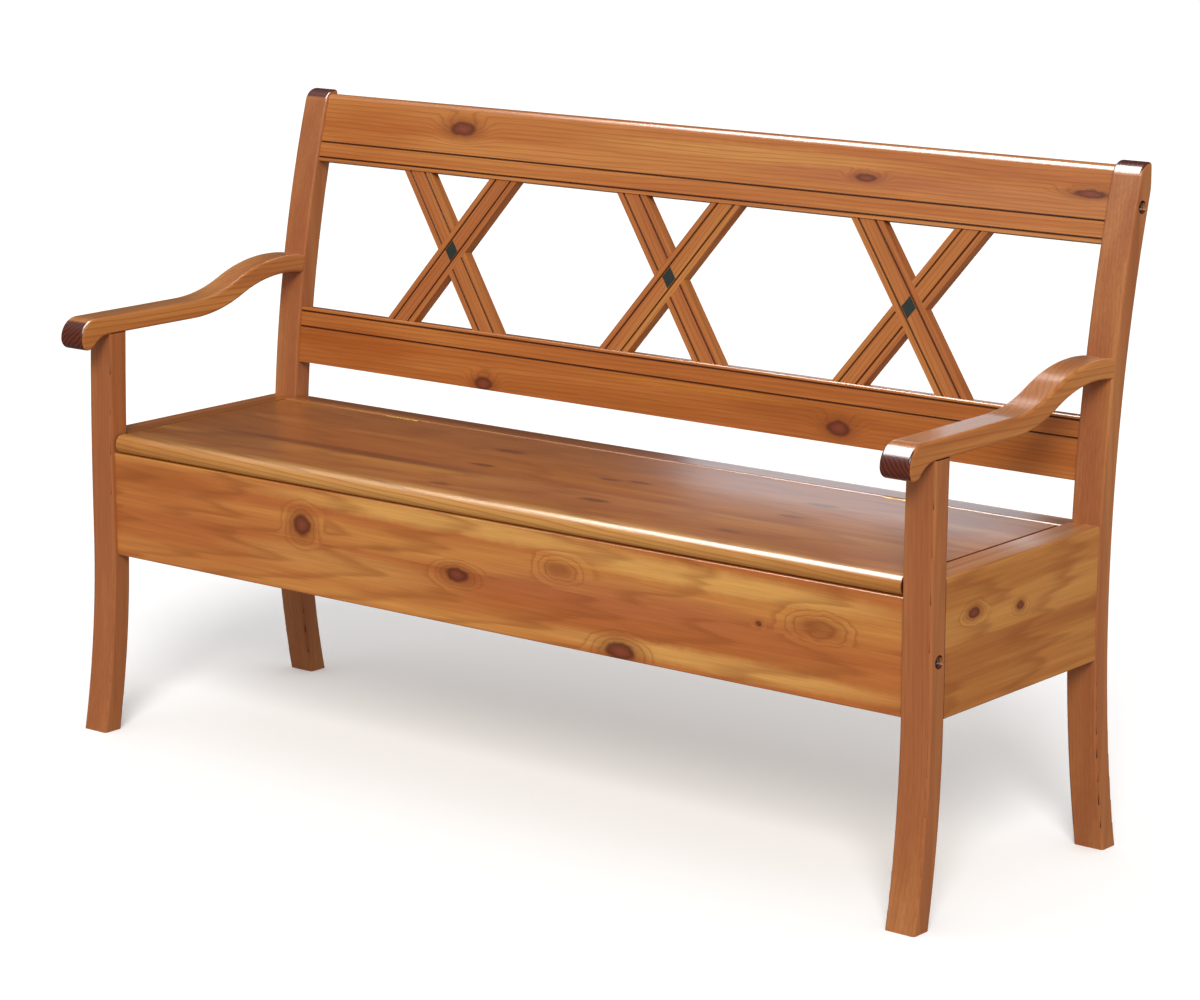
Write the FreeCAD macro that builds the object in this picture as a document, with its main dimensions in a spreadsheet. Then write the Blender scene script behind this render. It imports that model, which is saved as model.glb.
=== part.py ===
import FreeCAD, Part
import math
import os
import Sketcher
from FreeCAD import Placement, Rotation, Vector

# Settle bench: a storage bench in lacquered pine with a lift-up seat, two curved end frames, arms
# and a raked back with three crossed braces. Millimetres, +Z up, the front looks along -Y, and the
# origin is on the floor, midway along the bench and midway between its foremost and rearmost points.

doc = FreeCAD.newDocument("settle_bench")

# Driving dimensions: name, value, meaning
SIZES = [
    ("benchLength", 1510, "over the outer faces of the legs"),
    ("legWidth", 46, "legs, posts and arms, along the bench"),
    ("legDepth", 32, "legs and posts, front to back"),
    ("kneeHeight", 300, "level where the legs stand upright"),
    ("kneeFront", -207.5, "centreline of the front legs at that level"),
    ("kneeRear", 179.5, "centreline of the rear posts at that level"),
    ("footRadius", 1550, "curve of the legs below the knee"),
    ("rakeRadius", 2115, "curve of the rear posts above the knee"),
    ("leanRadius", 7600, "slight lean of the front legs above the knee"),
    ("postTop", 921, "top of the rear posts"),
    ("plankBack", 279, "rear face that the post's plank leaves at the top"),
    ("postCrown", 23, "rounding of the post's top, in front"),
    ("postCorner", 5, "rounding of the post's top, behind"),
    ("postFlat", 0.5, "least flat between the two, where they take up the whole top"),
    ("plankBlend", 60, "rounding where the plank's edge meets the sawn curve"),
    ("seatHeight", 450, "top of the seat"),
    ("lidThick", 27, "seat boards"),
    ("edgeSoft", 4, "rounding along legs and arms"),
    ("boardSoft", 2, "rounding along boards"),
    ("panelSoft", 3, "rounding along the side panels"),
    ("panelBottom", 268, "lower edge of the box"),
    ("boardThick", 22, "boards of the box"),
    ("apronFace", -217, "front face of the apron"),
    ("sideInset", 1.3, "side panel behind the legs' outer faces"),
    ("rearRailBack", 185.5, "rear face of the rear rail and the seat"),
    ("stripDepth", 39, "fixed strip behind the lid"),
    ("stripTall", 53, "end strips, top to bottom"),
    ("lidNose", -219, "foremost point of the lid"),
    ("lidFlat", 1, "flat left on the lid's nose, top to bottom"),
    ("lidSide", 3.5, "gap at each end of the lid"),
    ("seamGap", 3.6, "gap between the lid and the fixed strip"),
    ("ledgeWide", 20, "ledges under the lid's edges"),
    ("ledgeTall", 25, "ledges, top to bottom"),
    ("cleatSize", 20, "cleats under the box floor"),
    ("cleatRise", 4, "cleats above the lower edge of the box"),
    ("floorThick", 9, "box floor"),
    ("floorGap", 1, "play round the box floor"),
    ("battenWide", 60, "battens under the lid, along the bench"),
    ("battenThick", 18, "battens under the lid"),
    ("battenReach", 500, "outer battens from the middle"),
    ("battenEnd", 25, "batten ends from the ledges"),
    ("armUnder", 602, "underside of the arm over the front leg"),
    ("armThick", 27, "arms"),
    ("armRise", 44.5, "height of the arm's crest over its front"),
    ("armBend", 236, "radius of the arm's two bends"),
    ("armStart", -45, "where the arm begins to rise"),
    ("armNose", -276, "foremost point of the arm"),
    ("noseLobe", 15.3, "rounding under the arm's nose"),
    ("noseTop", 30.3, "rounding over the arm's nose"),
    ("noseCove", 43, "hollow behind the arm's nose"),
    ("railThick", 20, "top rail and middle rail"),
    ("railBack", 5, "rails behind the front of the posts"),
    ("topRailTall", 107, "top rail"),
    ("topRailMid", 866, "middle of the top rail"),
    ("topRailRound", 11, "rounding of its upper front edge"),
    ("midRailTall", 86, "middle rail"),
    ("midRailMid", 547, "middle of the middle rail"),
    ("midRailRound", 3, "rounding of its upper front edge"),
    ("beadNear", 6, "first groove from the rail's edge"),
    ("beadFar", 30, "second groove from the rail's edge"),
    ("grooveWide", 2.6, "grooves"),
    ("grooveDeep", 2.2, "grooves"),
    ("braceWide", 43, "brace slats"),
    ("braceThick", 16, "brace slats"),
    ("braceBead", 10, "groove's centre from the slat's edge"),
    ("braceSpread", 172, "sideways run of a slat from end to end"),
    ("bracePitch", 417, "from one crossing to the next"),
    ("inlayWide", 19, "inlay across each pair of sides"),
    ("inlayThick", 2.4, "inlay"),
    ("inlayProud", 0.3, "inlay above the slat"),
    ("boltHole", 18, "counterbore across"),
    ("boltSink", 4.5, "depth from the surface to the bolt head"),
    ("boltHead", 17, "bolt head across"),
    ("boltHeadThick", 2.5, "bolt head"),
    ("boltShank", 6, "bolt shank across"),
    ("boltReach", 38, "shank beyond the leg's inner face"),
    ("boltPlay", 0.5, "clearance round the shank"),
    ("socketSize", 4, "hexagon socket across its flats"),
    ("socketDeep", 2, "hexagon socket"),
    ("nutAcross", 10, "barrel nut across"),
    ("nutLong", 14, "barrel nut"),
    ("nutPlace", 28, "barrel nut's centre from the leg's inner face"),
    ("dowelAcross", 8, "dowels across"),
    ("dowelLong", 36, "dowels"),
    ("dowelEnd", 1, "clearance at each end of a dowel"),
    ("dowelEdge", 32.5, "box dowels from the boards' edges"),
    ("topDowelEdge", 18.5, "top rail's dowels from its edges"),
    ("midDowelEdge", 21, "middle rail's dowels from its edges"),
    ("armDowelEdge", 12, "arm dowels from the arm's sides"),
    ("hingeReach", 460, "hinges from the middle"),
    ("hingeLong", 65, "hinges"),
    ("hingeTall", 22, "hinge leaves below the pin"),
    ("gainPlay", 0.6, "clearance round the knuckles in the wood"),
    ("leafThick", 1.6, "hinge leaves"),
    ("knuckle", 5.6, "hinge knuckles across"),
    ("hingePin", 2.6, "hinge pins across"),
    ("pinPlay", 0.05, "running clearance round the pin"),
    ("knuckleGap", 0.4, "gap between knuckles"),
    ("leafPlay", 0.5, "clearance from a leaf to the other leaf's knuckles"),
    ("seamRound", 3, "rounding along the seam"),
]

size = doc.addObject("Spreadsheet::Sheet", "size")
for row, (name, value, meaning) in enumerate(SIZES, start=1):
    size.set("A%d" % row, name)
    size.set("B%d" % row, str(value))
    size.set("C%d" % row, meaning)
    size.setAlias("B%d" % row, name)
doc.recompute()

# Measures that several pieces share, as expressions on the sheet
legInner = "(size.benchLength / 2 - size.legWidth)"
legOuter = "(size.benchLength / 2)"
legMiddle = "(size.benchLength / 2 - size.legWidth / 2)"
halfDepth = "(size.legDepth / 2)"
lidUnder = "(size.seatHeight - size.lidThick)"
apronBack = "(size.apronFace + size.boardThick)"
rearRailFace = "(size.rearRailBack - size.boardThick)"
seamRear = "(size.rearRailBack - size.stripDepth)"
lidRear = "(%s - size.seamGap)" % seamRear
lidEnd = "(%s - size.lidSide)" % legInner
panelOuter = "(%s - size.sideInset)" % legOuter
panelInner = "(%s - size.boardThick)" % panelOuter
ledgeTop = lidUnder
ledgeBottom = "(%s - size.ledgeTall)" % lidUnder
rearLedgeFace = "(%s - size.ledgeWide)" % lidRear
cleatBottom = "(size.panelBottom + size.cleatRise)"
cleatTop = "(%s + size.cleatSize)" % cleatBottom
boxMiddle = "((size.panelBottom + %s) / 2)" % lidUnder
apronMiddle = "(size.apronFace + size.boardThick / 2)"
railMiddle = "(size.rearRailBack - size.boardThick / 2)"
gainDeep = "(size.knuckle / 2 - size.seamGap / 2 + size.gainPlay)"
pinLevel = "(size.seatHeight - size.knuckle / 2)"
pinPlace = "(%s - size.seamGap / 2)" % seamRear
armMiddle = "(size.armUnder + size.armThick / 2)"
armRun = "sqrt(4 * size.armBend * size.armRise - size.armRise^2)"
armCrest = "(size.armStart + %s)" % armRun
armCrestCentre = "(%s + size.armRise - size.armBend)" % armMiddle


def number(expression):
    """The value of an expression on the sheet."""
    value = size.evalExpression(str(expression))
    return float(getattr(value, "Value", value))


def backwards(knee, radius, offset, level):
    """Y of an edge that curves back, away from the knee, at a level."""
    reach = "sqrt((%s - (%s))^2 - (%s - size.kneeHeight)^2)" % (radius, offset, level)
    return "(%s + %s - %s)" % (knee, radius, reach)


def forwards(knee, radius, offset, level):
    """Y of an edge that curves forward, away from the knee, at a level."""
    reach = "sqrt((%s + (%s))^2 - (%s - size.kneeHeight)^2)" % (radius, offset, level)
    return "(%s - %s + %s)" % (knee, radius, reach)


def postFront(level):
    """Y of the rear post's front edge above the knee."""
    return backwards("size.kneeRear", "size.rakeRadius", "-" + halfDepth, level)


def legBack(level):
    """Y of the front leg's rear edge above the knee."""
    return backwards("size.kneeFront", "size.leanRadius", halfDepth, level)


def crestLevel(y, radius):
    """Level of the arm's crest arc, of a radius of its own, over a place along the arm."""
    return "(%s + sqrt(%s^2 - (%s - %s)^2))" % (armCrestCentre, radius, y, armCrest)


# Drawing and feature helpers

def plain(label):
    """A label without its underscores, for the names of sketches and features."""
    return label.title().replace("_", "")


def newBody(label):
    body = doc.addObject("PartDesign::Body", label)
    body.Label = label
    return body


def newSketch(body, name, role, shift=(), turnAxis=None, turn=None):
    """A sketch on one of the body's own origin planes, shifted and turned by expressions."""
    sketch = body.newObject("Sketcher::SketchObject", name)
    support = [f for f in body.Origin.OriginFeatures if f.Role == role][0]
    sketch.AttachmentSupport = [(support, "")]
    sketch.MapMode = "FlatFace"
    if turnAxis is not None:
        sketch.AttachmentOffset = Placement(Vector(0, 0, 0), Rotation(turnAxis, 1))
        sketch.setExpression("AttachmentOffset.Rotation.Angle", turn)
    for axis, expression in shift:
        sketch.setExpression("AttachmentOffset.Base." + axis, expression)
    return sketch


def outline(sketch, corners):
    """A closed outline. A corner is (x, y), or (x, y, radius, turn) where an arc leads to it."""
    places = [Vector(number(c[0]), number(c[1]), 0) for c in corners]
    first = sketch.GeometryCount
    ends = []
    arcs = []
    for i, corner in enumerate(corners):
        here = places[i - 1]
        there = places[i]
        if len(corner) == 2:
            ends.append((sketch.addGeometry(Part.LineSegment(here, there)), 1, 2))
            continue
        radius = number(corner[2])
        chord = there - here
        rise = math.sqrt(max(radius ** 2 - (chord.Length / 2) ** 2, 0))
        left = Vector(-chord.y, chord.x, 0).normalize() * rise
        centre = (here + there) / 2 + (left if corner[3] == "left" else -left)
        start, end = (here, there) if corner[3] == "left" else (there, here)
        angles = [math.atan2(p.y - centre.y, p.x - centre.x) for p in (start, end)]
        if angles[1] < angles[0]:
            angles[1] += 2 * math.pi
        arc = Part.ArcOfCircle(Part.Circle(centre, Vector(0, 0, 1), radius), *angles)
        index = sketch.addGeometry(arc)
        ends.append((index, 1, 2) if corner[3] == "left" else (index, 2, 1))
        arcs.append((index, corner[2], radius))
    rules = []
    bound = []
    for i, (index, begin, finish) in enumerate(ends):
        following = ends[(i + 1) % len(ends)]
        rules.append(Sketcher.Constraint("Coincident", index, finish, following[0], following[1]))
    for i, (index, begin, finish) in enumerate(ends):
        for kind, expression, value in (("DistanceX", corners[i][0], places[i].x),
                                        ("DistanceY", corners[i][1], places[i].y)):
            bound.append((len(rules), expression))
            rules.append(Sketcher.Constraint(kind, -1, 1, index, finish, value))
    for index, expression, value in arcs:
        bound.append((len(rules), expression))
        rules.append(Sketcher.Constraint("Radius", index, value))
    count = sketch.ConstraintCount
    sketch.addConstraint(rules)
    for place, expression in bound:
        sketch.setExpression("Constraints[%d]" % (count + place), str(expression))


def disc(sketch, x, y, across):
    """A circle placed and sized by expressions."""
    centre = Vector(number(x), number(y), 0)
    index = sketch.addGeometry(Part.Circle(centre, Vector(0, 0, 1), number(across) / 2))
    count = sketch.ConstraintCount
    sketch.addConstraint([
        Sketcher.Constraint("DistanceX", -1, 1, index, 3, number(x)),
        Sketcher.Constraint("DistanceY", -1, 1, index, 3, number(y)),
        Sketcher.Constraint("Diameter", index, number(across)),
    ])
    for place, expression in enumerate((x, y, across)):
        sketch.setExpression("Constraints[%d]" % (count + place), str(expression))


def rectangle(sketch, left, right, low, high):
    outline(sketch, [(left, low), (right, low), (right, high), (left, high)])


def pad(body, sketch, length, middle=False):
    feature = body.newObject("PartDesign::Pad", sketch.Name + "Pad")
    feature.Profile = sketch
    feature.setExpression("Length", length)
    feature.Midplane = middle
    sketch.Visibility = False
    doc.recompute()
    return feature


def cut(body, sketch, length, middle=False, alongNormal=False):
    """A pocket that has to take material away."""
    before = body.Shape.Volume
    feature = body.newObject("PartDesign::Pocket", sketch.Name + "Cut")
    feature.Profile = sketch
    feature.setExpression("Length", length)
    feature.Midplane = middle
    feature.Reversed = alongNormal
    doc.recompute()
    if not body.Shape.Volume < before - 0.01:
        raise RuntimeError("%s cuts nothing from %s" % (feature.Name, body.Label))
    return feature


def pickEdges(shape, test):
    """Names of the edges whose middle and direction pass a test."""
    names = []
    for i, edge in enumerate(shape.Edges, start=1):
        middle = edge.valueAt((edge.FirstParameter + edge.LastParameter) / 2)
        along = edge.tangentAt((edge.FirstParameter + edge.LastParameter) / 2)
        if test(middle, along):
            names.append("Edge%d" % i)
    return names


def roundOver(body, test, radius, name):
    """Rounds the picked edges of the body as it stands."""
    base = body.Tip
    names = pickEdges(base.Shape, test)
    if not names:
        raise RuntimeError("%s finds no edge on %s" % (name, body.Label))
    feature = body.newObject("PartDesign::Fillet", name)
    feature.Base = (base, names)
    feature.setExpression("Radius", radius)
    doc.recompute()
    return feature


# How near a face an edge counts as on it, in millimetres, and when it runs along or across an axis
NEAR = 1
STRAIGHT = 0.99
SQUARE = 0.1


def alongX(along):
    return abs(along.x) > STRAIGHT


def alongY(along):
    return abs(along.y) > STRAIGHT


def acrossX(along):
    return abs(along.x) < SQUARE


# Sideways planes of a body: the role, and the sketch's own axes for a place (x, y, z)
PLANES = {
    "X": ("YZ_Plane", lambda x, y, z: (y, z, x)),
    "Y": ("XZ_Plane", lambda x, y, z: (x, z, "-(%s)" % y)),
    "Z": ("XY_Plane", lambda x, y, z: (x, y, z)),
}


def bore(body, axis, place, across, length, name):
    """A round hole centred on a place, along one axis."""
    role, arrange = PLANES[axis]
    flatX, flatY, depth = arrange(*place)
    sketch = newSketch(body, name, role, shift=[("z", depth)])
    disc(sketch, flatX, flatY, across)
    return cut(body, sketch, length, middle=True)


dowels = {}


def dowelJoint(group, axis, place, *bodies):
    """A dowel centred on a joint face, and its hole in each piece that it enters."""
    dowels.setdefault(group, []).append((axis, place))
    label = "%s%d" % (group, len(dowels[group]))
    for count, body in enumerate(bodies):
        bore(body, axis, place, "size.dowelAcross", "size.dowelLong + 2 * size.dowelEnd",
             "%sHole%d" % (label, count))


TURNS = {
    "X": Rotation(Vector(0, 1, 0), 90),
    "-X": Rotation(Vector(0, 1, 0), -90),
    "Y": Rotation(Vector(-1, 0, 0), 90),
    "Z": Rotation(),
}


def solid(kind, name, place, direction="Z", **sizes):
    """A Part primitive, placed by expressions, with its own axis turned to a direction."""
    thing = doc.addObject("Part::" + kind, name)
    thing.Placement = Placement(Vector(0, 0, 0), TURNS[direction])
    for axis, expression in zip("xyz", place):
        thing.setExpression("Placement.Base." + axis, str(expression))
    for key, expression in sizes.items():
        thing.setExpression(key, str(expression))
    return thing


def group(label, things):
    """Separate solids that share one file."""
    compound = doc.addObject("Part::Compound", label)
    compound.Label = label
    compound.Links = things
    return compound


parts = {}
SIDES = (("left", -1), ("right", 1))


def sideways(side, near, far):
    """Where a piece between two distances from the middle starts, on the left or on the right."""
    return "-%s" % far if side < 0 else near


# Rear posts: sawn from plank on two arcs that meet at the knee, so the foot kicks back and the
# back rakes; the plank's own edge is left at the top, and the end grain is rounded over in front

def rearPost(word, side):
    body = newBody(word + "_rear_post")
    sketch = newSketch(body, word + "PostSide", "YZ_Plane", [("z", sideways(side, legInner, legOuter))])
    knee = "size.kneeRear"
    front = "(size.rakeRadius + %s)" % halfDepth
    back = "(size.rakeRadius - %s)" % halfDepth
    footFront = "size.footRadius + " + halfDepth
    footBack = "size.footRadius - " + halfDepth
    centreY = "(size.kneeRear + size.rakeRadius)"
    blendRun = "(%s - size.plankBack + size.plankBlend)" % centreY
    blendRise = "sqrt((%s + size.plankBlend)^2 - %s^2)" % (back, blendRun)
    blendShare = "(%s / (%s + size.plankBlend))" % (back, back)
    topRise = "(size.postTop - size.kneeHeight)"
    flatRun = "(%s - size.plankBack + size.postCorner + size.postFlat)" % centreY
    widest = "((%s^2 - %s^2 - %s^2) / 2 / (%s - %s))" % (front, topRise, flatRun, front, topRise)
    crown = "min(size.postCrown; %s)" % widest
    crownZ = "(size.postTop - %s)" % crown
    crownY = "(%s - sqrt((%s - %s)^2 - (%s - size.kneeHeight)^2))" % (centreY, front, crown, crownZ)
    crownShare = "(%s / (%s - %s))" % (front, front, crown)
    outline(sketch, [
        (backwards(knee, "size.footRadius", "-" + halfDepth, "0"), 0, footFront, "left"),
        (backwards(knee, "size.footRadius", halfDepth, "0"), 0),
        (knee + " + " + halfDepth, "size.kneeHeight", footBack, "right"),
        ("%s - %s * %s" % (centreY, blendRun, blendShare),
         "size.kneeHeight + %s * %s" % (blendRise, blendShare), back, "right"),
        ("size.plankBack", "size.kneeHeight + " + blendRise, "size.plankBlend", "left"),
        ("size.plankBack", "size.postTop - size.postCorner"),
        ("size.plankBack - size.postCorner", "size.postTop", "size.postCorner", "left"),
        (crownY, "size.postTop"),
        ("%s + (%s - %s) * %s" % (centreY, crownY, centreY, crownShare),
         "size.kneeHeight + (%s - size.kneeHeight) * %s" % (crownZ, crownShare), crown, "left"),
        (knee + " - " + halfDepth, "size.kneeHeight", front, "left"),
    ])
    pad(body, sketch, "size.legWidth")
    roundOver(body, lambda m, a: acrossX(a) and m.z > NEAR, "size.edgeSoft", word + "PostSoft")
    parts[body.Label] = body


# Front legs: the same foot turned forward, and a slight lean above the knee

def frontLeg(word, side):
    body = newBody(word + "_front_leg")
    sketch = newSketch(body, word + "LegSide", "YZ_Plane", [("z", sideways(side, legInner, legOuter))])
    knee = "size.kneeFront"
    footFront = "size.footRadius - " + halfDepth
    footBack = "size.footRadius + " + halfDepth
    outline(sketch, [
        (forwards(knee, "size.footRadius", "-" + halfDepth, "0"), 0, footFront, "right"),
        (forwards(knee, "size.footRadius", halfDepth, "0"), 0),
        (knee + " + " + halfDepth, "size.kneeHeight", footBack, "left"),
        (legBack("size.armUnder"), "size.armUnder", "size.leanRadius - " + halfDepth, "right"),
        (backwards(knee, "size.leanRadius", "-" + halfDepth, "size.armUnder"), "size.armUnder"),
        (knee + " - " + halfDepth, "size.kneeHeight", "size.leanRadius + " + halfDepth, "left"),
    ])
    pad(body, sketch, "size.legWidth")
    top = number("size.armUnder")
    roundOver(body, lambda m, a: acrossX(a) and NEAR < m.z < top - NEAR, "size.edgeSoft", word + "LegSoft")
    parts[body.Label] = body


# Armrests: a flat front over the leg, an ogee rise to the post, and a scrolled nose

def armrest(word, side):
    body = newBody(word + "_armrest")
    sketch = newSketch(body, word + "ArmSide", "YZ_Plane", [("z", sideways(side, legInner, legOuter))])
    half = "(size.armThick / 2)"
    slope = "asin(%s / 2 / size.armBend)" % armRun
    turnY = "(size.armStart + %s / 2)" % armRun
    turnZ = "(%s + size.armRise / 2)" % armMiddle
    aside = "%s * sin(%s)" % (half, slope)
    upright = "%s * cos(%s)" % (half, slope)
    outer = "(size.armBend + %s)" % half
    inner = "(size.armBend - %s)" % half
    end = "(%s + size.railThick)" % postFront(turnZ)
    armTop = "(size.armUnder + size.armThick)"
    lobeY = "(size.armNose + size.noseLobe)"
    lobeZ = "(%s - size.noseTop)" % armTop
    coveZ = "(size.armUnder - size.noseCove)"
    coveY = "(%s + sqrt((size.noseLobe + size.noseCove)^2 - (%s - %s)^2))" % (lobeY, lobeZ, coveZ)
    share = "(size.noseLobe / (size.noseLobe + size.noseCove))"
    outline(sketch, [
        (coveY, "size.armUnder", "size.noseCove", "right"),
        ("size.armStart", "size.armUnder"),
        ("%s + %s" % (turnY, aside), "%s - %s" % (turnZ, upright), outer, "left"),
        (end, crestLevel(end, inner), inner, "right"),
        (end, crestLevel(end, outer)),
        ("%s - %s" % (turnY, aside), "%s + %s" % (turnZ, upright), outer, "left"),
        ("size.armStart", armTop, inner, "right"),
        ("size.armNose + size.noseTop", armTop),
        ("size.armNose", lobeZ, "size.noseTop", "left"),
        ("%s + %s * (%s - %s)" % (lobeY, share, coveY, lobeY),
         "%s - %s * (%s - %s)" % (lobeZ, share, lobeZ, coveZ), "size.noseLobe", "left"),
    ])
    pad(body, sketch, "size.legWidth")
    low = "%s - size.armThick * 2" % turnZ
    high = "%s + size.armThick * 2" % turnZ
    behind = newSketch(body, word + "ArmEnd", "YZ_Plane", [("z", sideways(side, legInner, legOuter))])
    outline(behind, [
        (postFront(low), low, "size.rakeRadius + " + halfDepth, "left"),
        (end + " + size.armThick", low),
        (end + " + size.armThick", high),
        (postFront(high), high),
    ])
    cut(body, behind, "size.legWidth", alongNormal=True)
    rear = number(postFront(turnZ)) - number("size.edgeSoft")
    roundOver(body, lambda m, a: acrossX(a) and m.y < rear, "size.edgeSoft", word + "ArmSoft")
    parts[body.Label] = body


# Side panels and the end strips of the seat, shaped to the curved leg in front and post behind

def betweenLegs(sketch, low, high):
    """Outline from the front leg's rear edge to the rear post's front edge."""
    corners = [(legBack(low), low), (postFront(low), low)]
    if number(low) < number("size.kneeHeight"):
        corners = [
            (forwards("size.kneeFront", "size.footRadius", halfDepth, low), low),
            (backwards("size.kneeRear", "size.footRadius", "-" + halfDepth, low), low),
            ("size.kneeRear - " + halfDepth, "size.kneeHeight", "size.footRadius + " + halfDepth, "right"),
        ]
    corners.append((postFront(high), high, "size.rakeRadius + " + halfDepth, "right"))
    corners.append((legBack(high), high))
    if number(low) < number("size.kneeHeight"):
        knee = "size.kneeFront + " + halfDepth
        corners.append((knee, "size.kneeHeight", "size.leanRadius - " + halfDepth, "left"))
        corners[0] = corners[0] + ("size.footRadius + " + halfDepth, "right")
    else:
        corners[0] = corners[0] + ("size.leanRadius - " + halfDepth, "left")
    outline(sketch, corners)


def sidePanel(word, side):
    body = newBody(word + "_side_panel")
    sketch = newSketch(body, word + "PanelSide", "YZ_Plane",
                       [("z", sideways(side, panelInner, panelOuter))])
    betweenLegs(sketch, "size.panelBottom", "size.seatHeight")
    pad(body, sketch, "size.boardThick")
    outside = number(panelOuter) - NEAR
    roundOver(body, lambda m, a: alongY(a) and abs(m.x) > outside, "size.panelSoft", word + "PanelSoft")
    parts[body.Label] = body


def endStrip(word, side):
    body = newBody(word + "_seat_strip")
    sketch = newSketch(body, word + "StripSide", "YZ_Plane",
                       [("z", sideways(side, legInner, panelInner))])
    betweenLegs(sketch, "size.seatHeight - size.stripTall", "size.seatHeight")
    pad(body, sketch, "%s - %s" % (panelInner, legInner))
    parts[body.Label] = body


# Plain boards and battens: a rectangle seen from the end, run along the bench or front to back

def board(label, y, z, span=None, soft=None):
    """A board along the bench with its section between (y, y) and (z, z)."""
    body = newBody(label)
    half = span or legInner
    sketch = newSketch(body, plain(label) + "End", "YZ_Plane")
    rectangle(sketch, y[0], y[1], z[0], z[1])
    pad(body, sketch, "2 * " + half, middle=True)
    if soft:
        roundOver(body, lambda m, a: alongX(a), soft, plain(label) + "Soft")
    parts[label] = body
    return body


def crossBatten(label, x, y, z):
    """A batten across the bench between (x, x), (y, y) and (z, z)."""
    body = newBody(label)
    sketch = newSketch(body, plain(label) + "Plan", "XY_Plane", [("z", z[0])])
    rectangle(sketch, x[0], x[1], y[0], y[1])
    pad(body, sketch, "%s - %s" % (z[1], z[0]))
    parts[label] = body


def mirrored(side, near, far):
    """The two X values of a piece between two distances from the middle."""
    return ("-" + far, "-" + near) if side < 0 else (near, far)


for word, side in SIDES:
    rearPost(word, side)
    frontLeg(word, side)
    armrest(word, side)
    sidePanel(word, side)
    endStrip(word, side)

# The box: apron, rear rail, ledges that carry the lid, cleats that carry the floor
board("front_apron", ("size.apronFace", apronBack), ("size.panelBottom", lidUnder), soft="size.boardSoft")
board("rear_rail", (rearRailFace, "size.rearRailBack"), ("size.panelBottom", lidUnder))
board("rear_ledge", (rearLedgeFace, rearRailFace), (ledgeBottom, ledgeTop))
frontCleatBack = apronBack + " + size.cleatSize"
rearCleatFace = rearRailFace + " - size.cleatSize"
board("front_floor_cleat", (apronBack, frontCleatBack), (cleatBottom, cleatTop))
board("rear_floor_cleat", (rearCleatFace, rearRailFace), (cleatBottom, cleatTop))
for word, side in SIDES:
    crossBatten(word + "_lid_ledge", mirrored(side, "(%s - size.ledgeWide)" % legInner, legInner),
                (apronBack, rearLedgeFace), (ledgeBottom, ledgeTop))
    crossBatten(word + "_floor_cleat", mirrored(side, "(%s - size.cleatSize)" % panelInner, panelInner),
                (frontCleatBack, rearCleatFace), (cleatBottom, cleatTop))

# Box floor: a thin panel on the cleats, notched round the four legs
floorPanel = newBody("box_floor")
floorPlan = newSketch(floorPanel, "FloorPlan", "XY_Plane", [("z", cleatTop)])
floorFront = "(%s + size.floorGap)" % apronBack
floorRear = "(%s - size.floorGap)" % rearRailFace
floorEnd = "(%s - size.floorGap)" % panelInner
notchX = "(%s - size.floorGap)" % legInner
notchFront = "max(size.kneeFront + %s + size.edgeSoft; %s + size.floorGap)" % (halfDepth, floorFront)
notchRear = "min(size.kneeRear - %s - size.edgeSoft; %s - size.floorGap)" % (halfDepth, floorRear)
outline(floorPlan, [
    ("-" + notchX, floorFront), (notchX, floorFront), (notchX, notchFront), (floorEnd, notchFront),
    (floorEnd, notchRear), (notchX, notchRear), (notchX, floorRear), ("-" + notchX, floorRear),
    ("-" + notchX, notchRear), ("-" + floorEnd, notchRear), ("-" + floorEnd, notchFront),
    ("-" + notchX, notchFront),
])
pad(floorPanel, floorPlan, "size.floorThick")
parts["box_floor"] = floorPanel

# Seat: the fixed strip behind, and the lid with its half-round nose and three battens
HINGES = (("left", "-size.hingeReach"), ("right", "size.hingeReach"))


def hingeGains(body, y, name):
    """Notches for the knuckles of both hinges, in an edge along the seam."""
    for word, x in HINGES:
        sketch = newSketch(body, name + word.title() + "Gain", "YZ_Plane", [("z", x)])
        rectangle(sketch, y[0], y[1], "size.seatHeight - size.knuckle - size.gainPlay",
                  "size.seatHeight + size.knuckle")
        cut(body, sketch, "size.hingeLong + 2 * size.gainPlay", middle=True)


rearStrip = board("rear_seat_strip", (seamRear, "size.rearRailBack"), (lidUnder, "size.seatHeight"))
seatZ = number("size.seatHeight")
stripMiddleY = number(rearRailFace)
roundOver(rearStrip, lambda m, a: alongX(a) and m.z > seatZ - NEAR and m.y < stripMiddleY,
          "size.seamRound", "RearStripSeam")
roundOver(rearStrip, lambda m, a: alongX(a) and m.z > seatZ - NEAR and m.y > stripMiddleY,
          "size.boardSoft", "RearStripBack")
hingeGains(rearStrip, (seamRear + " - size.knuckle", "%s + %s" % (seamRear, gainDeep)), "Strip")

lid = board("lid_board", ("size.lidNose", lidRear), (lidUnder, "size.seatHeight"), span=lidEnd)
noseY = number("size.lidNose")
roundOver(lid, lambda m, a: alongX(a) and m.y < noseY + NEAR,
          "(size.lidThick - size.lidFlat) / 2", "LidNose")
roundOver(lid, lambda m, a: alongX(a) and m.z > seatZ - NEAR and m.y > 0, "size.seamRound", "LidSeam")
endX = number(lidEnd)
roundOver(lid, lambda m, a: alongY(a) and m.z > seatZ - NEAR and abs(m.x) > endX - NEAR,
          "size.boardSoft", "LidEnds")
hingeGains(lid, ("%s - %s" % (lidRear, gainDeep), lidRear + " + size.knuckle"), "Lid")
for word, x in (("left", "-size.battenReach"), ("middle", "0"), ("right", "size.battenReach")):
    crossBatten("lid_batten_" + word,
                ("%s - size.battenWide / 2" % x, "%s + size.battenWide / 2" % x),
                (apronBack + " + size.battenEnd", rearLedgeFace + " - size.battenEnd"),
                ("(%s - size.battenThick)" % lidUnder, lidUnder))

# Top and middle rails: raked with the posts, with two grooves near the edge that faces the braces

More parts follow.
